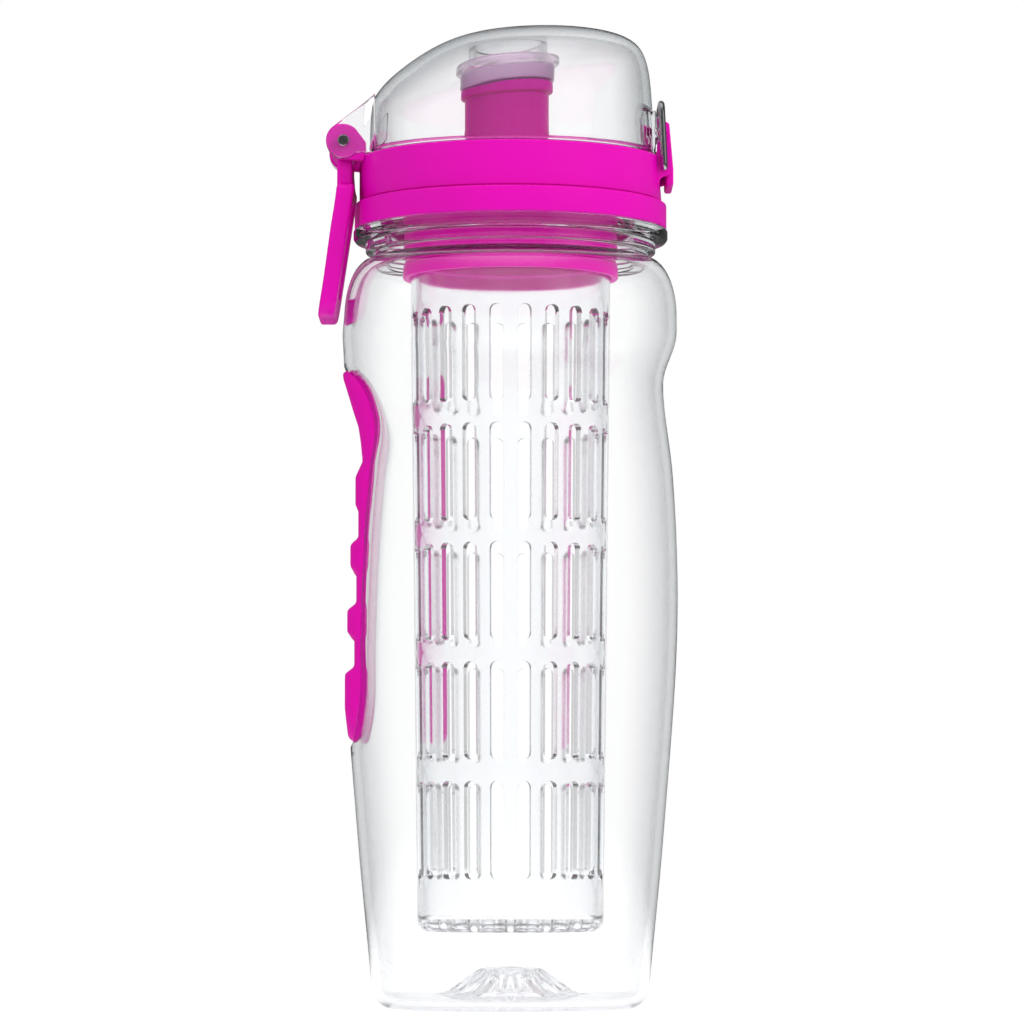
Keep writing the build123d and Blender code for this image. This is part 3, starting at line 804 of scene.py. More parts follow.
# Milky lilac that lets a little of what is behind it through, with its rims painted deeper where seen edge on, partly
# as painted shade
LILAC = MouldedSilicone("lilac_silicone_moulded", "#C6A2C6", 0.3)
# So thin that only its rims show, painted dark where seen edge on, partly as painted shade
LILAC_THIN = MouldedSilicone(
    "lilac_silicone_flange_moulded",
    "#F1E6F1",
    0.1,
    milk_mm=7.0,
    clearness=0.95,
    edge_depth_and_shade_colour="#5F5763",
)
# Bright lines along the wire
STEEL = DrawnSteel("stainless_steel_drawn", "#B4B6B9", 0.24)


def dress(
    piece: bpy.types.Object, body: Body, finish: Finish, stands_for: Sequence[str] = ()
) -> bpy.types.Object:
    """Gives a piece its finish and the body that it rides on.

    Args:
        piece: The piece.
        body: The body that carries it.
        finish: Its finish.
        stands_for: The frame's nodes that it takes the place of.

    Returns:
        The piece.
    """
    piece.data.materials.clear()
    piece.data.materials.append(finish.material())
    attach(piece, body.value)
    if stands_for:
        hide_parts(*stands_for)
    LOG.info("%s: %d faces, %s", piece.name, len(piece.data.polygons), finish.name)
    return piece


@dataclass
class Bottle:
    """The clear bottle with its soft grip, in millimetres."""

    segments: int = 240
    wall: float = 2.4
    base_corner: float = 6.0
    side: tuple[Point, ...] = ((37.2, 6.0), (41.2, 48.0), (45.0, 116.0), (43.7, 144.0), (41.2, 168.0))
    foot_slope: Point = (0.09, 1.0)
    shoulder: tuple[Point, ...] = ((44.9, 182.0), (44.9, 187.0))
    throat: Point = (37.2, 202.0)
    ring_radius: float = 39.2
    ring_foot: float = 203.4
    ring_thickness: float = 2.8
    bead_radius: float = 42.5
    bead_foot: float = 206.7
    bead_head: float = 209.7
    neck_radius: float = 36.2
    mouth: float = 225.0
    edge: float = 0.6
    thread_depth: float = 1.1
    thread_width: float = 2.2
    thread_pitch: float = 5.0
    thread_turns: float = 1.5
    thread_foot: float = 212.7
    punt_rise: float = 9.4
    punt_top: float = 6.5
    punt_foot: float = 19.0
    punt_flutes: int = 6
    punt_ripple: float = 1.3
    brow_shift: float = 3.0
    brow: tuple[Point, ...] = ((150.0, 38.5), (163.0, 40.9), (176.0, 42.1), (184.0, 42.0), (190.0, 40.0))
    recess_foot: float = 71.5
    recess_length: float = 100.9
    recess: tuple[Point, ...] = (
        (45.6, 1.000), (38.9, 0.917), (36.4, 0.837), (37.6, 0.709),
        (39.0, 0.530), (40.1, 0.263), (40.5, 0.104), (42.3, 0.000),
    )
    grip_width: float = 37.0
    grip_corner: float = 9.0
    grip_edge: float = 3.0
    saddle: tuple[Point, ...] = (
        (45.2, 0.985), (44.7, 0.957), (43.3, 0.913), (41.9, 0.867), (40.6, 0.828), (40.0, 0.788), (39.5, 0.738),
    )
    ribs: tuple[tuple[float, float, float], ...] = (
        (41.4, 0.605, 0.714), (42.7, 0.441, 0.535), (43.5, 0.267, 0.362), (44.1, 0.069, 0.194),
    )
    valleys: tuple[float, ...] = (40.6, 41.1, 41.6)
    rib_slope: float = 0.018
    rib_round: float = 1.4
    tail: float = 43.2

    def side_line(self, inset: float) -> np.ndarray:
        """The side from the foot to the throat, moved in by inset."""
        line = [smooth_line(self.side, 10, self.foot_slope, (0, 1))]
        line.append(smooth_line((self.side[-1], self.shoulder[0]), 10, (0, 1), (0, 1))[1:])
        line.append(np.array(self.shoulder[1:]))
        line.append(smooth_line((self.shoulder[-1], self.throat), 14, (0, 1), (-1, 0.1))[1:])
        whole = np.concatenate(line)
        ways = np.gradient(whole, axis=0)
        ways /= np.linalg.norm(ways, axis=1)[:, None]
        whole[:, 0] -= ways[:, 1] * inset
        whole[:, 1] += ways[:, 0] * inset
        return even_steps(whole, 1.5)

    def recess_floor(self, heights: np.ndarray, inset: float) -> np.ndarray:
        """How far the recess floor stands from the axis at each height."""
        line = smooth_line(
            [(self.recess_foot + self.recess_length * share, reach) for reach, share in self.recess],
            12,
        )
        line = line[np.argsort(line[:, 0])]
        floor = np.interp(heights, line[:, 0], line[:, 1])
        beyond = np.maximum(self.recess_foot - heights, 0) + np.maximum(
            heights - self.recess_foot - self.recess_length, 0
        )
        return floor + 1.2 * beyond - inset

    def shaped(self, grid: np.ndarray, inset: float) -> np.ndarray:
        """Adds the brow and the recess on the hinge side.

        Args:
            grid: The side's rings.
            inset: How far the surface lies inside the outer one.

        Returns:
            The changed rings.
        """
        heights = grid[..., 2]
        angles = np.arctan2(grid[..., 1], grid[..., 0])
        radii = np.hypot(grid[..., 0], grid[..., 1])
        brow_line = smooth_line(self.brow, 8)
        brow = np.interp(heights, brow_line[:, 0], brow_line[:, 1], left=0, right=0) - inset
        shift = -self.brow_shift
        reach = shift * np.cos(angles) + np.sqrt(np.maximum(brow**2 - (shift * np.sin(angles)) ** 2, 0))
        fuller = -soft_least(-radii, -reach, 1.6)
        inside = (heights > self.brow[0][0]) & (heights < self.brow[-1][0])
        radii = np.where(inside, np.maximum(fuller - 0.4 * (fuller - np.maximum(radii, reach)), radii), radii)
        across, along = radii * np.cos(angles), radii * np.sin(angles)
        floor = self.recess_floor(heights, inset)
        pressed = -soft_least(-across, floor, 1.4)
        across = np.where(-across > floor - 1.4, np.maximum(pressed, across), across)
        return np.stack([across, along, heights], axis=2)

    def punt(self, lift: float, grow: float) -> np.ndarray:
        """The fluted centre of the base, from its top to its foot.

        Args:
            lift: How far the surface lies above the underside.
            grow: How much wider it is than the underside.

        Returns:
            Its rings.
        """
        shares = np.array([0.0, 0.02, 0.35, 0.7, 0.92, 1.0, 1.02, 1.2, 1.5, 1.9, 2.3, 2.7, 2.95, 3.0])
        top = self.punt_top + grow
        foot = self.punt_foot + grow
        angles = np.linspace(0, TURN, self.segments, endpoint=False)
        petal = np.abs(((angles * self.punt_flutes / TURN) % 1) * 2 - 1)
        ripple = np.abs(((angles * 3 * self.punt_flutes / TURN) % 1) * 2 - 1)
        rings = []
        for share in shares:
            if share <= 1:
                radii = np.full_like(angles, top * share)
                radii = radii * (1 - 0.1 * (1 - petal))
                heights = np.full_like(angles, self.punt_rise + lift - 0.9 * share**2)
            else:
                out = (share - 1) / 2
                valley = top + (foot - top) * (out * 0.55)
                ridge = top + (foot - top) * out
                radii = (valley + (ridge - valley) * petal**1.5) * (1 - 0.1 * (1 - petal) * (1 - out))
                fall = (self.punt_rise - 0.9) * (1 - out) ** 1.25
                heights = np.full_like(angles, lift) + fall + self.punt_ripple * (ripple - 0.5) * math.sin(
                    math.pi * out
                )
            rings.append(np.stack([radii * np.cos(angles), radii * np.sin(angles), heights], axis=1))
        return np.array(rings)

    def threaded(self, grid: np.ndarray) -> np.ndarray:
        """Raises the screw thread on the neck's rings."""
        return raise_thread(
            grid, self.thread_depth, self.thread_width, self.thread_pitch, self.thread_turns, self.thread_foot
        )

    def neck_line(self) -> np.ndarray:
        """Radius and height of the neck's outside, from the throat to the mouth's inner edge."""
        ring_head = self.ring_foot + self.ring_thickness
        line = rounded(
            [
                (self.throat[0], self.throat[1] + 0.2),
                (self.throat[0], self.ring_foot),
                (self.ring_radius, self.ring_foot),
                (self.ring_radius, ring_head),
                (self.bead_radius - self.edge, self.bead_foot - 0.2),
                (self.bead_radius, self.bead_foot + self.edge),
                (self.bead_radius, self.bead_head),
                (self.neck_radius, self.bead_head),
                (self.neck_radius, self.mouth),
                (self.neck_radius - self.wall, self.mouth),
                (self.neck_radius - self.wall, self.mouth - 4),
            ],
            self.edge,
        )
        straight = (np.abs(line[:, 0] - self.neck_radius) < 0.01) & (line[:, 1] > self.bead_head)
        foot, head = line[straight][0, 1], line[straight][-1, 1]
        wound = np.stack([np.full(50, self.neck_radius), np.linspace(foot, head, 50)], axis=1)
        first = int(np.argmax(straight))
        return np.concatenate([line[:first], wound, line[first + int(straight.sum()):]])

    def build_shell(self) -> bpy.types.Object:
        """The bottle's wall, outside and inside, as one closed skin."""
        quarter = np.linspace(-math.pi / 2, 0, 9)
        foot = self.side[0][0]
        corner = np.stack(
            [foot - self.base_corner + self.base_corner * np.cos(quarter), self.base_corner * (1 + np.sin(quarter))],
            axis=1
        )
        inner_corner = self.base_corner - self.wall
        inner_round = np.stack(
            [
                foot - self.base_corner + inner_corner * np.cos(quarter),
                self.wall + inner_corner * (1 + np.sin(quarter)),
            ],
            axis=1,
        )
        bore = self.neck_radius - self.wall
        outer_side = self.side_line(0)
        inner_side = self.side_line(self.wall)
        inner_side = inner_side[inner_side[:, 0] > bore + 0.3]
        rings = [
            self.punt(0, 0),
            revolve(np.array([(self.punt_foot + 1, 0.0), (25.0, 0.0)]), self.segments),
            revolve(corner, self.segments),
            self.shaped(revolve(outer_side[1:], self.segments), 0),
            self.threaded(revolve(self.neck_line(), self.segments)),
            revolve(np.array([(bore, self.throat[1] - 1.0)]), self.segments),
            self.shaped(revolve(inner_side[:0:-1], self.segments), self.wall),
            revolve(inner_round[::-1], self.segments),
            revolve(np.array([(25.0, self.wall), (self.punt_foot + 3.4, self.wall)]), self.segments),
            self.punt(self.wall, self.wall * 0.8)[::-1],
        ]
        return skin("bottle_shell", np.concatenate(rings), crease=28.0)

    def grip_line(self) -> np.ndarray:
        """Height and reach of the grip's outer face, from its tail to its tip."""
        points = list(self.saddle)
        for index, (reach, low, high) in enumerate(self.ribs):
            points.append((reach, high - self.rib_slope))
            points.append((reach, low + self.rib_slope))
            if index < len(self.valleys):
                points.append((self.valleys[index], low))
                points.append((self.valleys[index], self.ribs[index + 1][2]))
        points.append((self.tail, 0.0))
        line = [(self.recess_foot + self.recess_length * share, reach) for reach, share in points]
        return even_steps(rounded(line[::-1], self.rib_round), 0.7)

    def build_grip(self) -> bpy.types.Object:
        """The soft ribbed slab in the recess."""
        line = self.grip_line()
        heights, reaches = line[:, 0], line[:, 1]
        order = np.argsort(heights)
        heights, reaches = heights[order], reaches[order]
        low, high = heights[0], heights[-1]
        into = np.clip(np.minimum(heights - low, high - heights), 0, self.grip_corner)
        half = self.grip_width / 2 - self.grip_corner + np.sqrt(self.grip_corner**2 - (self.grip_corner - into) ** 2)
        across = np.sin(np.linspace(-math.pi / 2, math.pi / 2, 49))
        spots = half[:, None] * across[None, :]
        edge = np.clip((half[:, None] - np.abs(spots)) / self.grip_edge, 0, 1)
        ends = np.clip(np.minimum(heights - low, high - heights) / 1.6, 0, 1)[:, None]
        swell = np.sqrt(1 - (1 - edge) ** 2) * np.sqrt(1 - (1 - ends) ** 2)
        floor = self.recess_floor(heights, 0)[:, None] - 0.35
        face = floor + np.maximum(reaches[:, None] - floor, 0.2) * swell
        count = spots.shape[1]
        front = np.stack([-face, spots, np.repeat(heights[:, None], count, axis=1)], axis=2)
        back = np.stack([-np.repeat(floor, count, axis=1), spots, np.repeat(heights[:, None], count, axis=1)], axis=2)
        ring = np.concatenate([front, back[:, ::-1]], axis=1)
        return skin("grip_pad", ring, crease=50.0)

    def make(self) -> None:
        """Builds and dresses the bottle and its grip."""
        dress(self.build_shell(), Body.BOTTLE, CLEAR_WALL, ["bottle_body", "bottle_neck"])
        dress(self.build_grip(), Body.BOTTLE, GRIP, ["side_grip"])


def raise_thread(
    grid: np.ndarray, depth: float, width: float, pitch: float, turns: float, foot: float
) -> np.ndarray:
    """Raises a helical thread on a grid of rings.

    Args:
        grid: The rings, in millimetres.
        depth: The thread's height, negative for one that points inwards.
        width: The thread's width at its root.
        pitch: How far it climbs in a turn.
        turns: How many turns it has.
        foot: Where its middle starts.

    Returns:
        The changed rings.
    """
    angles = np.arctan2(grid[..., 1], grid[..., 0]) % TURN
    radii = np.hypot(grid[..., 0], grid[..., 1])
    bore = np.median(radii)
    level = np.abs(radii - bore) < 0.05
    rise = np.zeros_like(radii)
    for lap in range(int(math.ceil(turns))):
        total = angles + lap * TURN
        away = np.abs(grid[..., 2] - foot - pitch * total / TURN)
        fade = np.clip(np.minimum(total, turns * TURN - total) / 0.3, 0, 1)
        rise = np.maximum(rise, fade * np.clip((width / 2 - away) / (width * 0.3), 0, 1))
    radii = radii + np.where(level, depth * rise, 0)
    return np.stack([radii * np.cos(angles), radii * np.sin(angles), grid[..., 2]], axis=2)


@dataclass
class Lid:
    """The screw lid with its spout, hinge lugs and latch lugs, in millimetres."""

    segments: int = 256
    lower_radius: float = 42.2
    upper_radius: float = 40.9
    foot: float = 210.0
    step: float = 216.7
    top: float = 229.0
    bore: float = 38.7
    rim: float = 36.4
    deck: float = 227.6
    deck_under: float = 226.0
    edge: float = 0.6
    seam_depth: float = 0.4
    seam_width: float = 0.5
    socket: float = 29.0
    socket_bore: float = 26.6
    socket_foot: float = 202.2
    spout_x: float = -1.0
    spout_radius: float = 11.4
    spout_bore: float = 9.2
    spout_top: float = 249.4
    spout_tilt: float = math.tan(math.radians(5.0))
    collar_radius: float = 12.5
    collar_height: float = 3.0
    hinge: Point = (-44.8, 232.4)
    hinge_pin: float = 1.55
    lug_radius: float = 4.7
    lug_inner: float = 9.7
    lug_outer: float = 12.3
    lug_gap: float = 0.35
    cover_foot: float = 39.9
    pocket_x: float = 40.0
    pocket_half: float = 8.6
    pocket_foot: float = 218.4
    latch_pin: Point = (41.3, 231.3)
    bail_pin: Point = (41.4, 225.6)
    latch_lug: float = 1.9
    latch_lug_inner: float = 8.6
    latch_lug_outer: float = 10.6

    def build_shell(self) -> bpy.types.Object:
        """The two bands, the deck and the socket, with the spout's bore cut through."""
        skirt = np.stack([np.full(36, self.bore), np.linspace(self.deck_under - 0.4, self.foot + 0.8, 36)], axis=1)
        outside = rounded(
            [
                (self.bore, self.foot + 1.2),
                (self.bore, self.foot),
                (self.lower_radius, self.foot),
                (self.lower_radius, self.step),
                (self.upper_radius - self.seam_depth, self.step),
                (self.upper_radius - self.seam_depth, self.step + self.seam_width),
                (self.upper_radius, self.step + self.seam_width),
                (self.upper_radius, self.top),
                (self.rim, self.top),
                (self.rim, self.deck),
                (self.spout_radius + 3, self.deck),
            ],
            self.edge,
        )
        inside = rounded(
            [
                (self.spout_radius, self.deck_under),
                (self.socket_bore, self.deck_under),
                (self.socket_bore, self.socket_foot),
                (self.socket, self.socket_foot),
                (self.socket, self.deck_under),
                (self.bore - 0.01, self.deck_under),
            ],
            self.edge,
        )
        rings = [
            revolve(np.array([(0.0, self.deck_under)]), self.segments),
            revolve(inside[:-1], self.segments),
            raise_thread(revolve(skirt, self.segments), -1.1, 2.2, 5.0, 1.5, self.foot + 3.0),
            self.pocketed(revolve(outside[1:], self.segments)),
            revolve(np.array([(0.0, self.deck)]), self.segments),
        ]
        shell = skin("lid_shell", np.concatenate(rings), crease=40.0)
        bore = skin(
            "bore_tool",
            revolve(
                np.array(
                    [
                        (0, self.deck_under - 3),
                        (self.spout_bore, self.deck_under - 3),
                        (self.spout_bore, self.deck + 3),
                        (0, self.deck + 3),
                    ],
                    float,
                ),
                96,
                (self.spout_x, 0.0),
            ),
        )
        return combine(shell, bore, Solid.CUT, 40.0)

    def pocketed(self, grid: np.ndarray) -> np.ndarray:
        """Flattens the upper band behind the latch button."""
        behind = (grid[..., 2] > self.pocket_foot) & (np.abs(grid[..., 1]) < self.pocket_half) & (grid[..., 0] > 0)
        across = np.where(behind, np.minimum(grid[..., 0], self.pocket_x), grid[..., 0])
        return np.stack([across, grid[..., 1], grid[..., 2]], axis=2)

    def build_spout(self) -> bpy.types.Object:
        """The drinking spout, a tube with a collar under its slanted mouth."""
        mouth = self.spout_top
        line = rounded(
            [
                (self.spout_bore, self.deck_under + 0.02),
                (self.spout_radius + 1.4, self.deck_under + 0.02),
                (self.spout_radius + 1.4, self.deck + 0.1),
                (self.spout_radius, self.deck + 1.2),
                (self.spout_radius, mouth - self.collar_height - 0.4),
                (self.collar_radius, mouth - self.collar_height),
                (self.collar_radius, mouth),
                (self.spout_bore, mouth),
            ],
            0.7,
            closed=True,
            steps=5,
        )
        grid = revolve(line, 144, (self.spout_x, 0.0))
        high = np.clip((grid[..., 2] - self.deck - 6) / 10, 0, 1)
        grid[..., 2] += high * self.spout_tilt * (grid[..., 0] - self.spout_x)
        return skin("lid_spout", grid, closed=True)

    def build_hinge_lugs(self) -> list[bpy.types.Object]:
        """The two round lugs that hold the hinge pin."""
        angles = np.linspace(math.radians(45), math.radians(270), 26)
        round_end = [
            (self.hinge[0] + self.lug_radius * math.cos(angle), self.hinge[1] + self.lug_radius * math.sin(angle))
            for angle in angles
        ]
        # The roots stand clear of the cover's flared foot
        root = -math.sqrt(self.cover_foot**2 - self.lug_inner**2) - self.lug_gap
        low = self.hinge[1] - self.lug_radius - 0.5
        outline = np.array([*round_end, (root, low), (root, self.hinge[1])])
        lugs = []
        for side in (-1, 1):
            near, far = sorted((side * self.lug_inner, side * self.lug_outer))
            lug = prism(f"hinge_lug_{'left' if side < 0 else 'right'}", outline, near, far, 0.5)
            hole = rod("hole_tool", self.hinge_pin, self.hinge, near - 1, far + 1)
            lugs.append(combine(lug, hole, Solid.CUT))
        return lugs

    def build_latch_lugs(self) -> list[bpy.types.Object]:
        """The two narrow lugs that hold the button's pin and the wire."""
        outline = rounded(
            [
                (self.latch_pin[0] - self.latch_lug, self.top - 1.0),
                (self.latch_pin[0] - self.latch_lug, self.latch_pin[1] + self.latch_lug),
                (self.latch_pin[0] + self.latch_lug, self.latch_pin[1] + self.latch_lug),
                (self.bail_pin[0] + self.latch_lug, self.bail_pin[1] - self.latch_lug),
                (self.bail_pin[0] - 1.0, self.bail_pin[1] - 2.4),
                (self.bore + 0.4, self.step + 1.2),
                (self.bore + 0.4, self.top - 1.0),
            ],
            1.8,
            closed=True,
        )
        lugs = []
        for side in (-1, 1):
            near, far = sorted((side * self.latch_lug_inner, side * self.latch_lug_outer))
            lugs.append(prism(f"latch_lug_{'left' if side < 0 else 'right'}", outline, near, far, 0.35))
        return lugs

    def make(self) -> None:
        """Builds and dresses the lid's pieces."""
        shell = dress(self.build_shell(), Body.LID, MAGENTA, ["lid_base"])
        # The socket and the deck's underside get the copy of the magenta painted brighter, as painted light
        shell.data.materials.append(PAINTED_LIGHT_MAGENTA.material())
        for face in shell.data.polygons:
            across, along, height = face.center / MM
            if height < self.deck_under + 0.5 and math.hypot(across, along) < self.bore - 0.5:
                face.material_index = 1
        # The spout gets the copy of the magenta painted deeper, as painted shade, a little smoother and with less
        # shine
        dress(self.build_spout(), Body.LID, PAINTED_SHADE_MAGENTA)
        for piece in (*self.build_hinge_lugs(), *self.build_latch_lugs()):
            dress(piece, Body.LID, MAGENTA)


@dataclass
class Cover:
    """The clear flip cover, its ears and catch, and the stopper under its roof, in millimetres."""

    segments: int = 192
    wall: float = 2.2
    rim_radius: float = 39.2
    rim: float = 229.3
    height: float = 35.6
    foot_flare: float = 0.7
    soft_passes: int = 14
    # Height, reach to the hinge, reach to the latch, half width, as shares of the height and the rim's radius
    section_shares: tuple[tuple[float, float, float, float], ...] = (
        (0.00, 1.000, 1.000, 1.000),
        (0.36, 0.982, 0.982, 0.978),
        (0.46, 0.944, 0.976, 0.954),
        (0.56, 0.876, 0.969, 0.914),
        (0.66, 0.776, 0.958, 0.858),
        (0.76, 0.655, 0.936, 0.776),
        (0.85, 0.521, 0.896, 0.668),
        (0.92, 0.372, 0.812, 0.530),
        (0.97, 0.180, 0.660, 0.356),
        (0.99, -0.020, 0.470, 0.200),
        (0.995, -0.225, 0.225, 0.000),
    )
    hinge: Point = (-44.8, 232.4)
    hinge_pin: float = 1.55
    ear_radius: float = 4.75
    ear_inner: float = 12.6
    ear_outer: float = 15.2
    gusset: Point = (4.4, 9.3)
    ear_root: float = 12.6
    tab_width: float = 14.0
    tab_reach: float = 39.2
    tab_height: float = 12.4
    catch_reach: float = 39.9
    catch_rise: float = 5.0
    catch_thickness: float = 1.4
    ring_radius: float = 10.8
    ring_wall: float = 1.6
    ring_foot: float = 255.3
    flange_radius: float = 14.1
    flange_foot: float = 253.9
    flange_thickness: float = 2.8
    flange_bevel: float = 0.6
    plug_radius: float = 12.8
    nose_radius: float = 8.0
    nose_depth: float = 1.4
    spout_x: float = -1.0
    spout_top: float = 249.4
    spout_tilt: float = math.tan(math.radians(5.0))

    def dome(self, inset: float) -> np.ndarray:
        """The cover's rings, moved in by a wall on every side but the rim."""
        radius, rise = self.rim_radius - inset, self.height - inset
        shares = np.array(self.section_shares)
        size = np.array([rise, radius, radius, radius])
        lower = smooth_line(shares[:2] * size, 10)
        upper = smooth_line(shares[1:] * size, 7, start=(shares[1] - shares[0]) * size, end=(0, -1, -1, -1))
        rings = np.concatenate([lower, upper[1:]])
        # Evened out a little, so that the bend above the rim doesn't break what is seen through it
        for _ in range(self.soft_passes):
            rings[1:-8] += 0.25 * (rings[:-9] - 2 * rings[1:-8] + rings[2:-7])
        angles = np.linspace(0, TURN, self.segments, endpoint=False)
        grid = []
        for up, back, front, half in rings:
            across = (front - back) / 2 + (front + back) / 2 * np.cos(angles)
            grid.append(
                np.stack([across, max(half, 0) * np.sin(angles), np.full_like(angles, self.rim + up)], axis=1)
            )
        return np.array(grid)

    def inner_face(self, outer: np.ndarray) -> np.ndarray:
        """The dome's inner face, a wall's thickness inside the outer one, so that it doesn't act as a prism.

        Args:
            outer: The outer face's rings.

        Returns:
            The inner face's rings.
        """
        around = np.roll(outer, -1, axis=1) - np.roll(outer, 1, axis=1)
        normals = np.cross(around, np.gradient(outer, axis=0))
        normals[0, :, 2] = 0
        normals[-1] = (0, 0, 1)
        normals /= np.maximum(np.linalg.norm(normals, axis=2, keepdims=True), 1e-9)
        return outer - self.wall * normals

    def build_dome(self) -> bpy.types.Object:
        """The clear dome with its ears, catch and the ring that holds the stopper."""
        outer = self.dome(0)
        inner = self.inner_face(outer)
        outer[0, :, :2] *= 1 + self.foot_flare / self.rim_radius
        shell = skin("cover_dome", np.concatenate([inner[::-1], outer]), crease=40.0)
        middle = skin(
            "middle_tool",
            np.concatenate([self.dome(self.wall / 2)[:1] * (0, 0, 1), self.dome(self.wall / 2)]),
        )
        ring_line = np.array(
            [
                (self.ring_radius - self.ring_wall, self.ring_foot),
                (self.ring_radius, self.ring_foot),
                (self.ring_radius, self.rim + self.height + 3),
                (self.ring_radius - self.ring_wall, self.rim + self.height + 3),
            ]
        )
        ring = skin("cover_ring", revolve(ring_line, 96, (self.spout_x, 0.0)), closed=True)
        combine(ring, middle, Solid.KEEP)
        combine(shell, ring, Solid.ADD)
        for side in (-1, 1):
            near, far = sorted((side * self.ear_inner, side * self.ear_outer))
            ear = prism("ear_tool", self.ear_outline(), near, far, 0.4)
            combine(shell, ear, Solid.ADD)
        for side in (-1, 1):
            near, far = sorted((side * (self.ear_inner - 1), side * (self.ear_outer + 1)))
            combine(shell, rod("hole_tool", self.hinge_pin, self.hinge, near, far), Solid.CUT)
        combine(shell, self.build_tab(), Solid.ADD)
        shade(shell, 40.0)
        return shell

    def ear_outline(self) -> np.ndarray:
        """An ear, seen from the side: a round end that runs into the dome."""
        reach = math.hypot(*self.gusset)
        tangent = math.atan2(self.gusset[1], self.gusset[0]) + math.acos(self.ear_radius / reach)
        drop = self.hinge[1] - self.rim
        start = -math.asin(drop / self.ear_radius)
        angles = np.linspace(tangent, TURN + start, 30)
        points = [(self.ear_radius * math.cos(angle), self.ear_radius * math.sin(angle)) for angle in angles]
        root = -math.sqrt(self.rim_radius**2 - self.ear_inner**2) - self.hinge[0] + self.wall / 3
        points += [(root, -drop), (root, self.ear_root), self.gusset]
        return np.array([(self.hinge[0] + x, self.hinge[1] + z) for x, z in points])

    def build_tab(self) -> bpy.types.Object:
        """The catch tab on the latch side, with its ledge."""
        inner = self.rim_radius - self.wall * 0.6
        outline = rounded(
            [
                (inner, self.rim + 0.05),
                (self.tab_reach, self.rim + 0.05),
                (self.tab_reach, self.rim + self.catch_rise),
                (self.catch_reach, self.rim + self.catch_rise),
                (self.catch_reach, self.rim + self.catch_rise + self.catch_thickness),
                (self.tab_reach, self.rim + self.catch_rise + 2 * self.catch_thickness),
                (self.tab_reach, self.rim + self.tab_height),
                (inner - 0.4, self.rim + self.tab_height),
            ],
            0.4,
            closed=True,
        )
        return prism("tab_tool", outline, -self.tab_width / 2, self.tab_width / 2, 0.4)

    def build_plug(self) -> bpy.types.Object:
        """The stopper's body, with its nose in the spout and its foot along the slanted mouth."""
        foot = self.spout_top + 0.3
        line = rounded(
            [
                (0, foot - self.nose_depth),
                (self.nose_radius - 0.5, foot - self.nose_depth),
                (self.nose_radius, foot),
                (self.plug_radius, foot),
                (self.plug_radius, self.flange_foot - 0.1),
                (0, self.flange_foot - 0.1),
            ],
            0.5,
        )
        grid = revolve(line, 128, (self.spout_x, 0.0))
        grid[..., 2] += self.spout_tilt * (grid[..., 0] - self.spout_x)
        return skin("spout_stopper", grid)

    def build_flange(self) -> bpy.types.Object:
        """The stopper's thin flange, with a groove for the cover's ring."""
        head = self.flange_foot + self.flange_thickness
        groove = self.ring_foot - 0.1
        line = rounded(
            [
                (0, self.flange_foot),
                (self.flange_radius - self.flange_bevel, self.flange_foot),
                (self.flange_radius, self.flange_foot + self.flange_bevel),
                (self.flange_radius, head),
                (self.ring_radius + 0.15, head),
                (self.ring_radius + 0.15, groove),
                (self.ring_radius - self.ring_wall - 0.15, groove),
                (self.ring_radius - self.ring_wall - 0.15, head),
                (0, head),
            ],
            0.35,
        )
        grid = revolve(line, 128, (self.spout_x, 0.0))
        grid[..., 2] += self.spout_tilt * (grid[..., 0] - self.spout_x)
        return skin("stopper_flange", grid)

    def make(self) -> None:
        """Builds and dresses the cover and its stopper."""
        dress(self.build_dome(), Body.COVER, CLEAR_COVER, ["flip_cover"])
        dress(self.build_plug(), Body.COVER, LILAC, ["spout_plug"])
        dress(self.build_flange(), Body.COVER, LILAC_THIN)


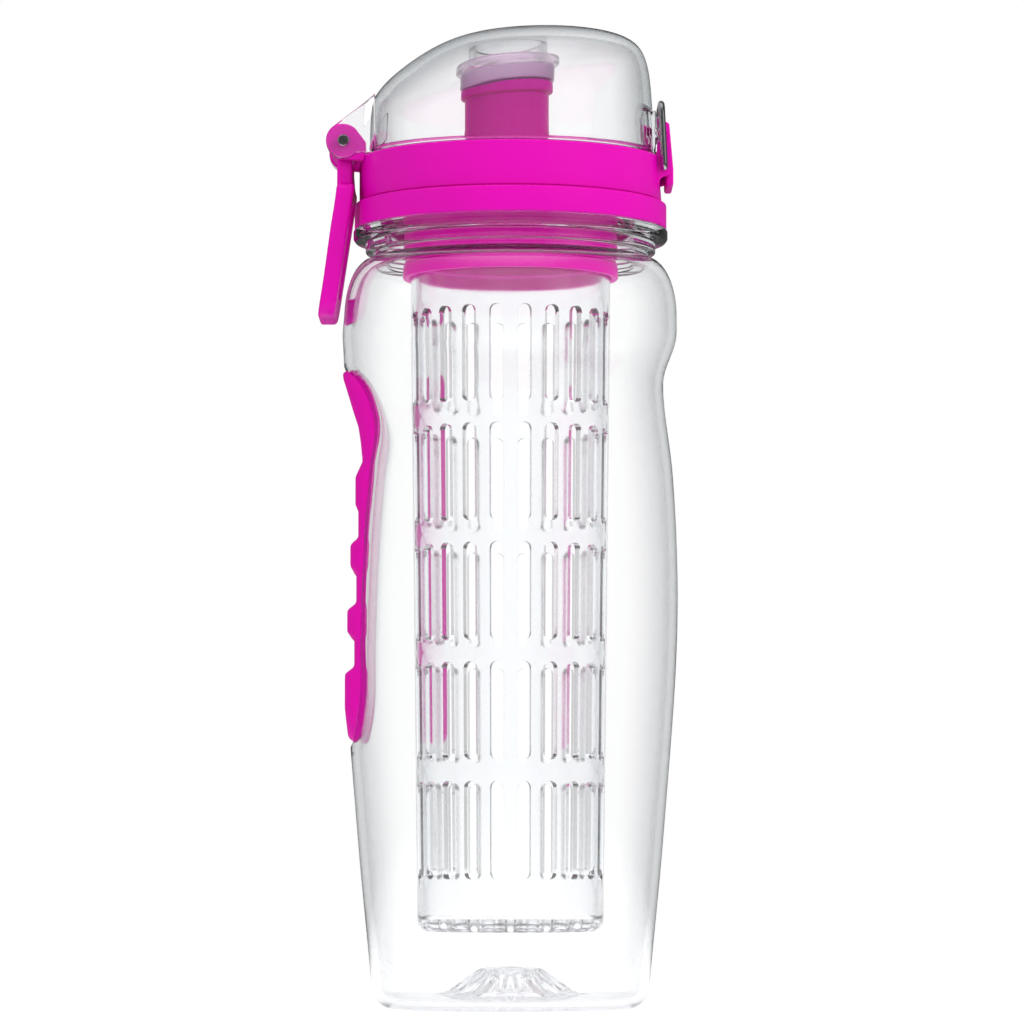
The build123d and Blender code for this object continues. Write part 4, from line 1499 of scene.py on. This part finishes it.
@dataclass
class Hinge:
    """The hinge pin and the carry loop that hangs from it, in millimetres."""

    pivot: Point = (-44.8, 232.4)
    pin_radius: float = 1.5
    pin_half: float = 15.3
    dimple_radius: float = 0.8
    dimple_depth: float = 0.9
    barrel_radius: float = 4.2
    barrel_half: float = 9.4
    loop_half: float = 14.0
    loop_foot: float = 185.2
    neck_foot: float = 221.0
    window_half: float = 8.2
    window_foot: float = 191.5
    window_head: float = 217.5
    corner: float = 6.0
    neck_in: float = 2.2
    neck_out: float = 1.9
    reach_in: float = 2.9
    reach_out: float = 7.1
    thickness: float = 4.7

    def faces_at(self, heights: np.ndarray) -> tuple[np.ndarray, np.ndarray]:
        """Where the loop's outer and inner faces stand at each height.

        Args:
            heights: Heights in millimetres.

        Returns:
            The X of the outer face and of the inner face.
        """
        foot, neck, pivot = self.loop_foot, self.neck_foot, self.pivot
        outer = smooth_line(
            [(foot, -self.reach_out), ((foot + pivot[1]) / 2, -self.reach_out / 2), (neck, -self.neck_out)],
            12, (1, 0.2), (1, 0.05),
        )
        inner = smooth_line(
            [
                (foot, -self.reach_out + self.thickness),
                ((foot + pivot[1]) / 2, -self.reach_out / 2 + self.thickness),
                (neck - 0.5, self.reach_in),
            ],
            12,
        )
        out = np.interp(heights, [*outer[:, 0], pivot[1]], [*outer[:, 1], -self.neck_out])
        within = np.interp(
            heights,
            [*inner[:, 0], neck, neck + 0.6, pivot[1]],
            [*inner[:, 1], self.reach_in - 0.2, self.neck_in, self.neck_in]
        )
        return pivot[0] + out, pivot[0] + within

    def build_loop(self) -> bpy.types.Object:
        """The loop: a closed band with a window, a narrow neck and a barrel round the pin."""
        outer = self.loop_outline()
        window = rounded(
            [
                (self.window_half, self.window_foot),
                (self.window_half, self.window_head),
                (-self.window_half, self.window_head),
                (-self.window_half, self.window_foot),
            ],
            self.corner / 2,
            closed=True,
            steps=8,
        )
        # The band runs round the window in rows from the window's rim to the outer rim
        count = 160
        inner_ring = self.spread(window, count)
        outer_ring = self.spread(outer, count)
        rim = 0.9
        grid = []
        for share, depth in self.band_section(rim):
            ring = inner_ring + (outer_ring - inner_ring) * share
            out, within = self.faces_at(ring[:, 1])
            middle, half = (out + within) / 2, (within - out) / 2
            across = middle + np.sign(depth) * np.maximum(half - rim * (1 - abs(depth)), 0)
            grid.append(np.stack([across, ring[:, 0], ring[:, 1]], axis=1))
        loop = skin("carry_loop", np.array(grid), closed=True, crease=40.0)
        barrel = rod("barrel_tool", self.barrel_radius, self.pivot, -self.barrel_half, self.barrel_half, 0.5)
        combine(loop, barrel, Solid.ADD)
        hole = rod("hole_tool", self.pin_radius + 0.05, self.pivot, -self.barrel_half - 1, self.barrel_half + 1)
        return combine(loop, hole, Solid.CUT)

    def loop_outline(self) -> np.ndarray:
        """The loop's outer rim as Y and Z, with its neck up into the barrel."""
        head = self.pivot[1] - 1.0
        return rounded(
            [
                (self.loop_half, self.loop_foot),
                (self.loop_half, self.neck_foot),
                (self.barrel_half, self.neck_foot),
                (self.barrel_half, head),
                (-self.barrel_half, head),
                (-self.barrel_half, self.neck_foot),
                (-self.loop_half, self.neck_foot),
                (-self.loop_half, self.loop_foot),
            ],
            self.corner,
            closed=True,
            steps=8,
        )

    def spread(self, outline: np.ndarray, count: int) -> np.ndarray:
        """Points on a closed outline, at even angles about the window's middle.

        Args:
            outline: The outline's corners as Y and Z.
            count: How many points to take.

        Returns:
            The points.
        """
        centre = np.array([0.0, (self.window_foot + self.window_head) / 2])
        closed = even_steps(np.concatenate([outline, outline[:1]]), 0.2) - centre
        angles = np.unwrap(np.arctan2(closed[:, 1], closed[:, 0]))
        if angles[-1] < angles[0]:
            closed, angles = closed[::-1], angles[::-1]
        base = math.ceil(angles[0] / TURN * count) / count * TURN
        wanted = (base + np.arange(count) * TURN / count - angles[0]) % TURN + angles[0]
        picked = np.stack([np.interp(wanted, angles, closed[:, axis]) for axis in range(2)], axis=1)
        start = int(np.argmin(wanted % TURN))
        return np.roll(picked, -start, axis=0) + centre

    def band_section(self, rim: float) -> list[tuple[float, float]]:
        """The band's section as shares of its width, with its depth from 0 to 1 on either face.

        Args:
            rim: The rounding of its rims.

        Returns:
            Share and signed depth of each row.
        """
        width = self.loop_half - self.window_half
        edge = rim / width
        rows = []
        for angle in np.linspace(0.06, math.pi / 2, 5):
            rows.append((edge * (1 - math.cos(angle)), math.sin(angle)))
        front = [*rows, (0.5, 1.0), *((1 - share, depth) for share, depth in reversed(rows))]
        return front + [(share, -depth) for share, depth in reversed(front)]

    def make(self) -> None:
        """Builds and dresses the pin and the loop."""
        pin = rod("hinge_pin_rod", self.pin_radius, self.pivot, -self.pin_half, self.pin_half, 0.3)
        for side in (-1, 1):
            near, far = sorted((side * (self.pin_half - self.dimple_depth), side * (self.pin_half + 1)))
            combine(pin, rod("dimple_tool", self.dimple_radius, self.pivot, near, far), Solid.CUT)
        dress(pin, Body.LID, STEEL, ["hinge_pin"])
        dress(self.build_loop(), Body.HANDLE, MAGENTA, ["carry_handle"])


@dataclass
class Latch:
    """The rocking button, its pin and spring, and the wire lock, in millimetres."""

    pin: Point = (41.3, 231.3)
    pin_radius: float = 0.9
    pin_half: float = 10.7
    half_width: float = 8.2
    foot: float = 221.0
    head: float = 238.6
    face: float = 43.9
    thickness: float = 2.1
    hook: float = 40.3
    hook_thickness: float = 1.6
    boss_half: float = 5.4
    boss_radius: float = 1.6
    spring_radius: float = 1.25
    spring_wire: float = 0.4
    spring_turns: float = 4.5
    spring_pitch: float = 0.5
    spring_leg: float = 2.2
    bail_pivot: Point = (41.4, 225.6)
    bail_top: Point = (40.6, 243.2)
    bail_wire: float = 1.8
    bail_half: float = 11.8
    bail_tip: float = 8.9
    bail_corner: float = 4.0

    def build_button(self) -> bpy.types.Object:
        """The button's plate with the hook at its head and the boss round the pin."""
        back = self.face - self.thickness
        outline = rounded(
            [
                (back, self.foot),
                (self.face, self.foot),
                (self.face, self.bail_pivot[1]),
                (self.face - self.thickness / 2, self.head - 0.6),
                (self.face - self.thickness, self.head),
                (self.hook, self.head - 0.6),
                (self.hook, self.head - self.hook_thickness),
                (back, self.head - 2 * self.hook_thickness),
            ],
            0.8,
            closed=True,
        )
        plate = prism("latch_plate", outline, -self.half_width, self.half_width, 0.6)
        boss = rod("boss_tool", self.boss_radius, self.pin, -self.boss_half, self.boss_half)
        combine(plate, boss, Solid.ADD)
        hole = rod("hole_tool", self.pin_radius + 0.05, self.pin, -self.half_width - 1, self.half_width + 1)
        combine(plate, hole, Solid.CUT)
        relief = rod("relief_tool", self.spring_radius + 0.5, self.pin, self.boss_half, self.half_width + 1)
        return combine(plate, relief, Solid.CUT)

    def build_spring(self) -> bpy.types.Object:
        """The torsion spring: a coil round the pin with two short legs."""
        start = self.boss_half + 0.5
        angles = np.linspace(0, self.spring_turns * TURN, int(self.spring_turns * 24) + 1)
        coil = np.stack(
            [
                self.pin[0] + self.spring_radius * np.cos(angles),
                start + self.spring_pitch * angles / TURN,
                self.pin[1] + self.spring_radius * np.sin(angles),
            ],
            axis=1,
        )
        drop = np.array([0, 0, -self.spring_leg])
        path = np.concatenate([[coil[0] + drop], coil, [coil[-1] + drop]])
        return tube("latch_coil", path, self.spring_wire / 2, 10)

    def build_bail(self) -> bpy.types.Object:
        """The wire lock: a round-cornered loop whose ends turn in to its bores."""
        length = math.dist(self.bail_pivot, self.bail_top)
        flat = [
            (-self.bail_tip, 0.0),
            (-self.bail_half, 0.0),
            (-self.bail_half, length),
            (self.bail_half, length),
            (self.bail_half, 0.0),
            (self.bail_tip, 0.0),
        ]
        line = np.concatenate(
            [
                rounded(flat[:3], 1.2, steps=6)[:-1],
                rounded(flat[1:5], self.bail_corner, steps=10)[1:-1],
                rounded(flat[3:], 1.2, steps=6)[1:],
            ]
        )
        lean = (self.bail_top[0] - self.bail_pivot[0]) / length
        rise = (self.bail_top[1] - self.bail_pivot[1]) / length
        path = np.stack(
            [self.bail_pivot[0] + lean * line[:, 1], line[:, 0], self.bail_pivot[1] + rise * line[:, 1]], axis=1
        )
        return tube("wire_lock", path, self.bail_wire / 2, 20)

    def make(self) -> None:
        """Builds and dresses the latch's pieces."""
        dress(self.build_button(), Body.BUTTON, MAGENTA, ["latch_button"])
        pin = rod("latch_pin_rod", self.pin_radius, self.pin, -self.pin_half, self.pin_half, 0.2)
        dress(pin, Body.LID, STEEL, ["latch_pin"])
        dress(self.build_spring(), Body.LID, STEEL, ["latch_spring"])
        dress(self.build_bail(), Body.BAIL, STEEL, ["wire_bail"])


@dataclass
class Infuser:
    """The threaded collar and the slotted basket, in millimetres."""

    flange_radius: float = 29.2
    flange_foot: float = 196.7
    flange_head: float = 201.8
    sleeve_radius: float = 24.7
    sleeve_bore: float = 22.9
    sleeve_head: float = 212.0
    socket_radius: float = 27.2
    head: float = 200.2
    foot: float = 20.7
    head_radius: float = 27.1
    foot_radius: float = 25.0
    wall: float = 2.0
    floor: float = 3.6
    corner: float = 3.0
    rows: int = 5
    columns: int = 22
    slot_width: float = 3.5
    slot_length: float = 26.0
    row_spacing: float = 31.6
    first_row: float = 47.7
    top_steps: int = 8
    side_steps: int = 10
    drain_radius: float = 1.5
    drain_circle: float = 17.0
    drain_inner_circle: float = 9.0
    drain_count: int = 12
    drain_inner_count: int = 6

    def radius_at(self, height: float) -> float:
        """The basket's outer radius at a height."""
        low = self.foot + self.corner
        return self.foot_radius + (self.head_radius - self.foot_radius) * (height - low) / (self.head - low)

    def build_collar(self) -> bpy.types.Object:
        """The collar: a flange over the basket's head and a sleeve above it, without a thread."""
        line = rounded(
            [
                (self.socket_radius, self.flange_foot),
                (self.flange_radius, self.flange_foot),
                (self.flange_radius, self.flange_head),
                (self.sleeve_radius, self.flange_head),
                (self.sleeve_radius, self.sleeve_head),
                (self.sleeve_bore, self.sleeve_head),
                (self.sleeve_bore, self.head + 0.1),
                (self.socket_radius, self.head + 0.1),
            ],
            0.6,
            closed=True,
        )
        return skin("infuser_ring", revolve(line, 160), closed=True)

    def slot_loop(self) -> list[Point]:
        """A slot's rim as offsets across and up from its middle, from the lower right round."""
        half, straight = self.slot_width / 2, (self.slot_length - self.slot_width) / 2
        loop = [(half, height) for height in np.linspace(-straight, straight, self.side_steps)]
        turns = np.linspace(0, math.pi, self.top_steps + 1)[1:-1]
        loop += [(half * math.cos(turn), straight + half * math.sin(turn)) for turn in turns]
        loop += [(-half, height) for height in np.linspace(straight, -straight, self.side_steps)]
        loop += [(-half * math.cos(turn), -straight - half * math.sin(turn)) for turn in turns]
        return loop

    def cell_loop(self) -> list[Point]:
        """The rim of a slot's cell, as an angle and a height, point for point with the slot's."""
        half, tall = math.pi / self.columns, self.row_spacing / 2
        loop = [(half, height) for height in np.linspace(-tall, tall, self.side_steps)]
        loop += [(angle, tall) for angle in np.linspace(half, -half, self.top_steps + 1)[1:-1]]
        loop += [(-half, height) for height in np.linspace(tall, -tall, self.side_steps)]
        loop += [(angle, -tall) for angle in np.linspace(-half, half, self.top_steps + 1)[1:-1]]
        return loop

    def build_basket(self) -> bpy.types.Object:
        """The basket: cells with a slot each, a plain head, and a floor with round drains."""
        points: list[tuple[float, float, float]] = []
        faces: list[tuple[int, ...]] = []
        slot, cell = self.slot_loop(), self.cell_loop()
        count = len(slot)
        for row in range(self.rows):
            middle = self.first_row + self.row_spacing * row
            for column in range(self.columns):
                bearing = TURN * column / self.columns
                base = len(points)
                for inset in (0.0, self.wall):
                    for across, up in slot:
                        radius = self.radius_at(middle + up)
                        angle = bearing + across / radius
                        points.append(
                            ((radius - inset) * math.cos(angle), (radius - inset) * math.sin(angle), middle + up)
                        )
                    for angle, up in cell:
                        radius = self.radius_at(middle + up) - inset
                        points.append(
                            (radius * math.cos(bearing + angle), radius * math.sin(bearing + angle), middle + up)
                        )
                for index in range(count):
                    beside = (index + 1) % count
                    for layer in (0, 2 * count):
                        faces.append(
                            (
                                base + layer + index,
                                base + layer + beside,
                                base + layer + count + beside,
                                base + layer + count + index,
                            )
                        )
                    faces.append((base + index, base + beside, base + 2 * count + beside, base + 2 * count + index))
        low = self.first_row - self.row_spacing / 2
        high = low + self.row_spacing * self.rows
        quarter = np.linspace(0, -math.pi / 2, 6)
        corner = [
            (self.foot_radius - self.corner * (1 - math.cos(turn)), self.foot + self.corner * (1 + math.sin(turn)))
            for turn in quarter
        ]
        segments = self.columns * self.top_steps
        floor_top = self.foot + self.floor
        bands = [
            [(self.radius_at(high), high), (self.head_radius, self.head), (self.head_radius - self.wall, self.head),
             (self.radius_at(high) - self.wall, high)],
            [(self.radius_at(low), low), *corner, (0.0, self.foot)],
            [(self.radius_at(low) - self.wall, low), (self.foot_radius - self.wall, floor_top + 1.0),
             (self.foot_radius - self.wall - 1.0, floor_top), (0.0, floor_top)],
        ]
        for band in bands:
            grid = revolve(np.array(band, float), segments)
            base = len(points)
            points.extend(map(tuple, grid.reshape(-1, 3)))
            for ring in range(len(band) - 1):
                for segment in range(segments):
                    beside = (segment + 1) % segments
                    here, above = base + ring * segments, base + (ring + 1) * segments
                    faces.append((here + segment, here + beside, above + beside, above + segment))
        basket = make_piece("slotted_basket", points, faces, 35.0)
        drains = [(0.0, 0.0)]
        for circle, total in (
            (self.drain_circle, self.drain_count),
            (self.drain_inner_circle, self.drain_inner_count),
        ):
            drains += [
                (circle * math.cos(TURN * i / total), circle * math.sin(TURN * i / total))
                for i in range(total)
            ]
        tools = []
        for place in drains:
            line = np.array(
                [
                    (0, self.foot - 1),
                    (self.drain_radius, self.foot - 1),
                    (self.drain_radius, floor_top + 1),
                    (0, floor_top + 1),
                ],
                float,
            )
            tools.append(skin("drain_tool", revolve(line, 24, place)))
        return combine(basket, join(tools), Solid.CUT, 35.0)

    def make(self) -> None:
        """Builds and dresses the infuser's pieces."""
        # The collar gets the copy of the magenta painted brighter, as painted light
        dress(self.build_collar(), Body.INFUSER, PAINTED_LIGHT_MAGENTA, ["infuser_collar"])
        dress(self.build_basket(), Body.INFUSER, CLEAR_BASKET, ["infuser_basket"])


@dataclass
class Studio:
    """The pale floor, soft light and camera, in metres."""

    floor_radius: float = 2.2
    camera_distance: float = 1.37
    camera_height: float = 0.035
    target_height: float = 0.1335
    centre_x: float = 0.0004
    lens: float = 179.0
    backdrop: str = "#FFFFFF"
    floor_colour: str = "#F6F6F6"
    floor_fade: tuple[float, float] = (0.12, 0.5)
    wall_turn: tuple[float, float] = (-0.15, 0.4)
    flag_turn: tuple[float, float] = (0.3, 0.75)
    back_glow: float = 1.18
    front_glow: float = 0.95
    flag_share: float = 0.62
    reflected_share: float = 0.1
    diffuse_glow: float = 0.75
    soft_boxes: tuple[tuple[tuple[float, float, float], float, float], ...] = (
        ((0.8, -0.6, 0.25), 0.12, 0.6),
        ((-0.85, -0.5, 0.3), 0.06, 0.3),
        ((0.0, -0.15, 1.0), 0.2, 0.9),
    )

    # Name, place, size and power in watts
    lamps: tuple[tuple[str, tuple[float, float, float], Point, float], ...] = (
        ("key", (0.75, -0.8, 0.75), (0.6, 0.8), 9.0),
        ("fill", (-0.9, -0.6, 0.5), (0.4, 0.9), 3.0),
        ("top", (0.0, 0.2, 1.1), (0.9, 0.9), 7.0),
    )

    def make_floor(self) -> None:
        """A wide pale disc that fades into the backdrop."""
        line = np.array([(0.0, 0.0), (200.0, 0.0), (600.0, 0.0), (self.floor_radius / MM, 0.0)])
        floor = skin("floor", revolve(line, 96))
        made = bpy.data.materials.new("studio_floor")
        made.use_nodes = True
        tree = made.node_tree
        tree.nodes.clear()
        place = add_node(tree, "ShaderNodeTexCoord").outputs["Object"]
        far = add_node(tree, "ShaderNodeVectorMath", {"operation": "LENGTH"}, {0: place})
        fade = add_node(
            tree,
            "ShaderNodeMapRange",
            {"From Min": self.floor_fade[0], "From Max": self.floor_fade[1], "interpolation_type": "SMOOTHSTEP"},
            {"Value": far.outputs["Value"]}
        )
        ground = add_node(tree, "ShaderNodeBsdfDiffuse", {"Color": linear(self.floor_colour)})
        away = add_node(tree, "ShaderNodeBsdfTransparent")
        mixed = add_node(
            tree,
            "ShaderNodeMixShader",
            {},
            {0: fade.outputs["Result"], 1: ground.outputs["BSDF"], 2: away.outputs["BSDF"]}
        )
        output = add_node(tree, "ShaderNodeOutputMaterial")
        tree.links.new(mixed.outputs["Shader"], output.inputs["Surface"])
        floor.data.materials.append(made)

    def make_world(self) -> None:
        """A white room that is darker in front of the object and at its sides, as behind black flags."""
        world = bpy.data.worlds.new("studio")
        bpy.context.scene.world = world
        world.use_nodes = True
        tree = world.node_tree
        tree.nodes.clear()
        way = add_node(tree, "ShaderNodeTexCoord").outputs["Generated"]
        parts = add_node(tree, "ShaderNodeSeparateXYZ", {}, {0: way})
        side = add_node(tree, "ShaderNodeMath", {"operation": "ABSOLUTE"}, {0: parts.outputs["X"]})
        smooth = {"interpolation_type": "SMOOTHSTEP"}
        # A bright wall behind the object, with grey flags at its sides
        wall = add_node(
            tree,
            "ShaderNodeMapRange",
            {
                "From Min": self.wall_turn[0],
                "From Max": self.wall_turn[1],
                "To Min": self.front_glow,
                "To Max": self.back_glow,
                **smooth,
            },
            {"Value": parts.outputs["Y"]},
        )
        flags = add_node(
            tree,
            "ShaderNodeMapRange",
            {
                "From Min": self.flag_turn[0],
                "From Max": self.flag_turn[1],
                "To Min": 1.0,
                "To Max": self.flag_share,
                **smooth,
            },
            {"Value": side.outputs[0]},
        )
        room = add_node(
            tree, "ShaderNodeMath", {"operation": "MULTIPLY"}, {0: flags.outputs["Result"], 1: wall.outputs["Result"]}
        )
        rays = add_node(tree, "ShaderNodeLightPath")
        # Reflections see a dimmer room, so that no white veil lies over what is inside
        share = add_node(
            tree,
            "ShaderNodeMix",
            {"data_type": "FLOAT", "A": 1.0, "B": self.reflected_share},
            {"Factor": rays.outputs["Is Reflection Ray"]},
        )
        room = add_node(tree, "ShaderNodeMath", {"operation": "MULTIPLY"}, {0: room.outputs[0], 1: share.outputs[0]})
        # Two soft boxes in front, the larger one on the latch side, and one overhead
        glow = room.outputs[0]
        for place, spread, strength in self.soft_boxes:
            aim = add_node(
                tree,
                "ShaderNodeVectorMath",
                {"operation": "DOT_PRODUCT"},
                {0: way},
            )
            aim.inputs[1].default_value = unit(place)
            box = add_node(
                tree,
                "ShaderNodeMapRange",
                {"From Min": 1 - spread, "From Max": 1.0, "To Min": 0.0, "To Max": strength, **smooth},
                {"Value": aim.outputs["Value"]},
            )
            glow = add_node(
                tree,
                "ShaderNodeMath",
                {"operation": "ADD"},
                {0: glow, 1: box.outputs["Result"]},
            ).outputs[0]
        # Dull surfaces are lit evenly, and the camera sees plain white
        lit = add_node(
            tree,
            "ShaderNodeMix",
            {"data_type": "FLOAT", "B": self.diffuse_glow},
            {"Factor": rays.outputs["Is Diffuse Ray"], "A": glow}
        )
        seen = add_node(
            tree,
            "ShaderNodeMix",
            {"data_type": "FLOAT", "B": 1.0},
            {"Factor": rays.outputs["Is Camera Ray"], "A": lit.outputs[0]}
        )
        sky = add_node(tree, "ShaderNodeBackground", {"Color": linear(self.backdrop)}, {"Strength": seen.outputs[0]})
        output = add_node(tree, "ShaderNodeOutputWorld")
        tree.links.new(sky.outputs["Background"], output.inputs["Surface"])

    def make_lamp(self, name: str, place: Sequence[float], size: Point, power: float) -> None:
        """Adds a soft lamp that points at the object.

        Args:
            name: The lamp's name.
            place: Where it stands.
            size: Its width and height.
            power: Its power in watts.
        """
        data = bpy.data.lights.new(name, "AREA")
        data.shape = "RECTANGLE"
        data.size, data.size_y = size
        data.energy = power
        lamp = bpy.data.objects.new(name, data)
        lamp.location = place
        aim = Vector((0, 0, self.target_height)) - Vector(place)
        lamp.rotation_euler = aim.to_track_quat("-Z", "Y").to_euler()
        lamp.visible_glossy = False
        lamp.visible_transmission = False
        bpy.context.scene.collection.objects.link(lamp)

    def make_camera(self) -> None:
        """The camera at the photograph's low viewing angle."""
        data = bpy.data.cameras.new("camera")
        data.lens = self.lens
        data.sensor_width = 36.0
        camera = bpy.data.objects.new("camera", data)
        camera.location = (self.centre_x, -self.camera_distance, self.camera_height)
        aim = Vector((self.centre_x, 0, self.target_height)) - camera.location
        camera.rotation_euler = aim.to_track_quat("-Z", "Y").to_euler()
        bpy.context.scene.collection.objects.link(camera)
        bpy.context.scene.camera = camera

    def make(self) -> None:
        """Sets up the studio."""
        scene = bpy.context.scene
        scene.view_settings.view_transform = "Standard"
        scene.cycles.max_bounces = 20
        scene.cycles.transmission_bounces = 18
        scene.cycles.transparent_max_bounces = 24
        scene.cycles.glossy_bounces = 6
        self.make_camera()
        self.make_floor()
        self.make_world()
        for lamp in self.lamps:
            self.make_lamp(*lamp)


def main() -> None:
    """Builds the bottle round its frame."""
    logging.basicConfig(level=logging.INFO, format="%(message)s")
    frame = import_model()
    Studio().make()
    for assembly in (Bottle(), Lid(), Cover(), Hinge(), Latch(), Infuser()):
        LOG.info("building %s", type(assembly).__name__)
        assembly.make()
    for name, finish in (("lid_gasket", LILAC), ("vent_valve", LILAC)):
        node = frame["nodes"][name]
        node.data.materials.clear()
        node.data.materials.append(finish.material())
        LOG.info("%s: frame node, %s", name, finish.name)


if __name__ == "__main__":
    main()
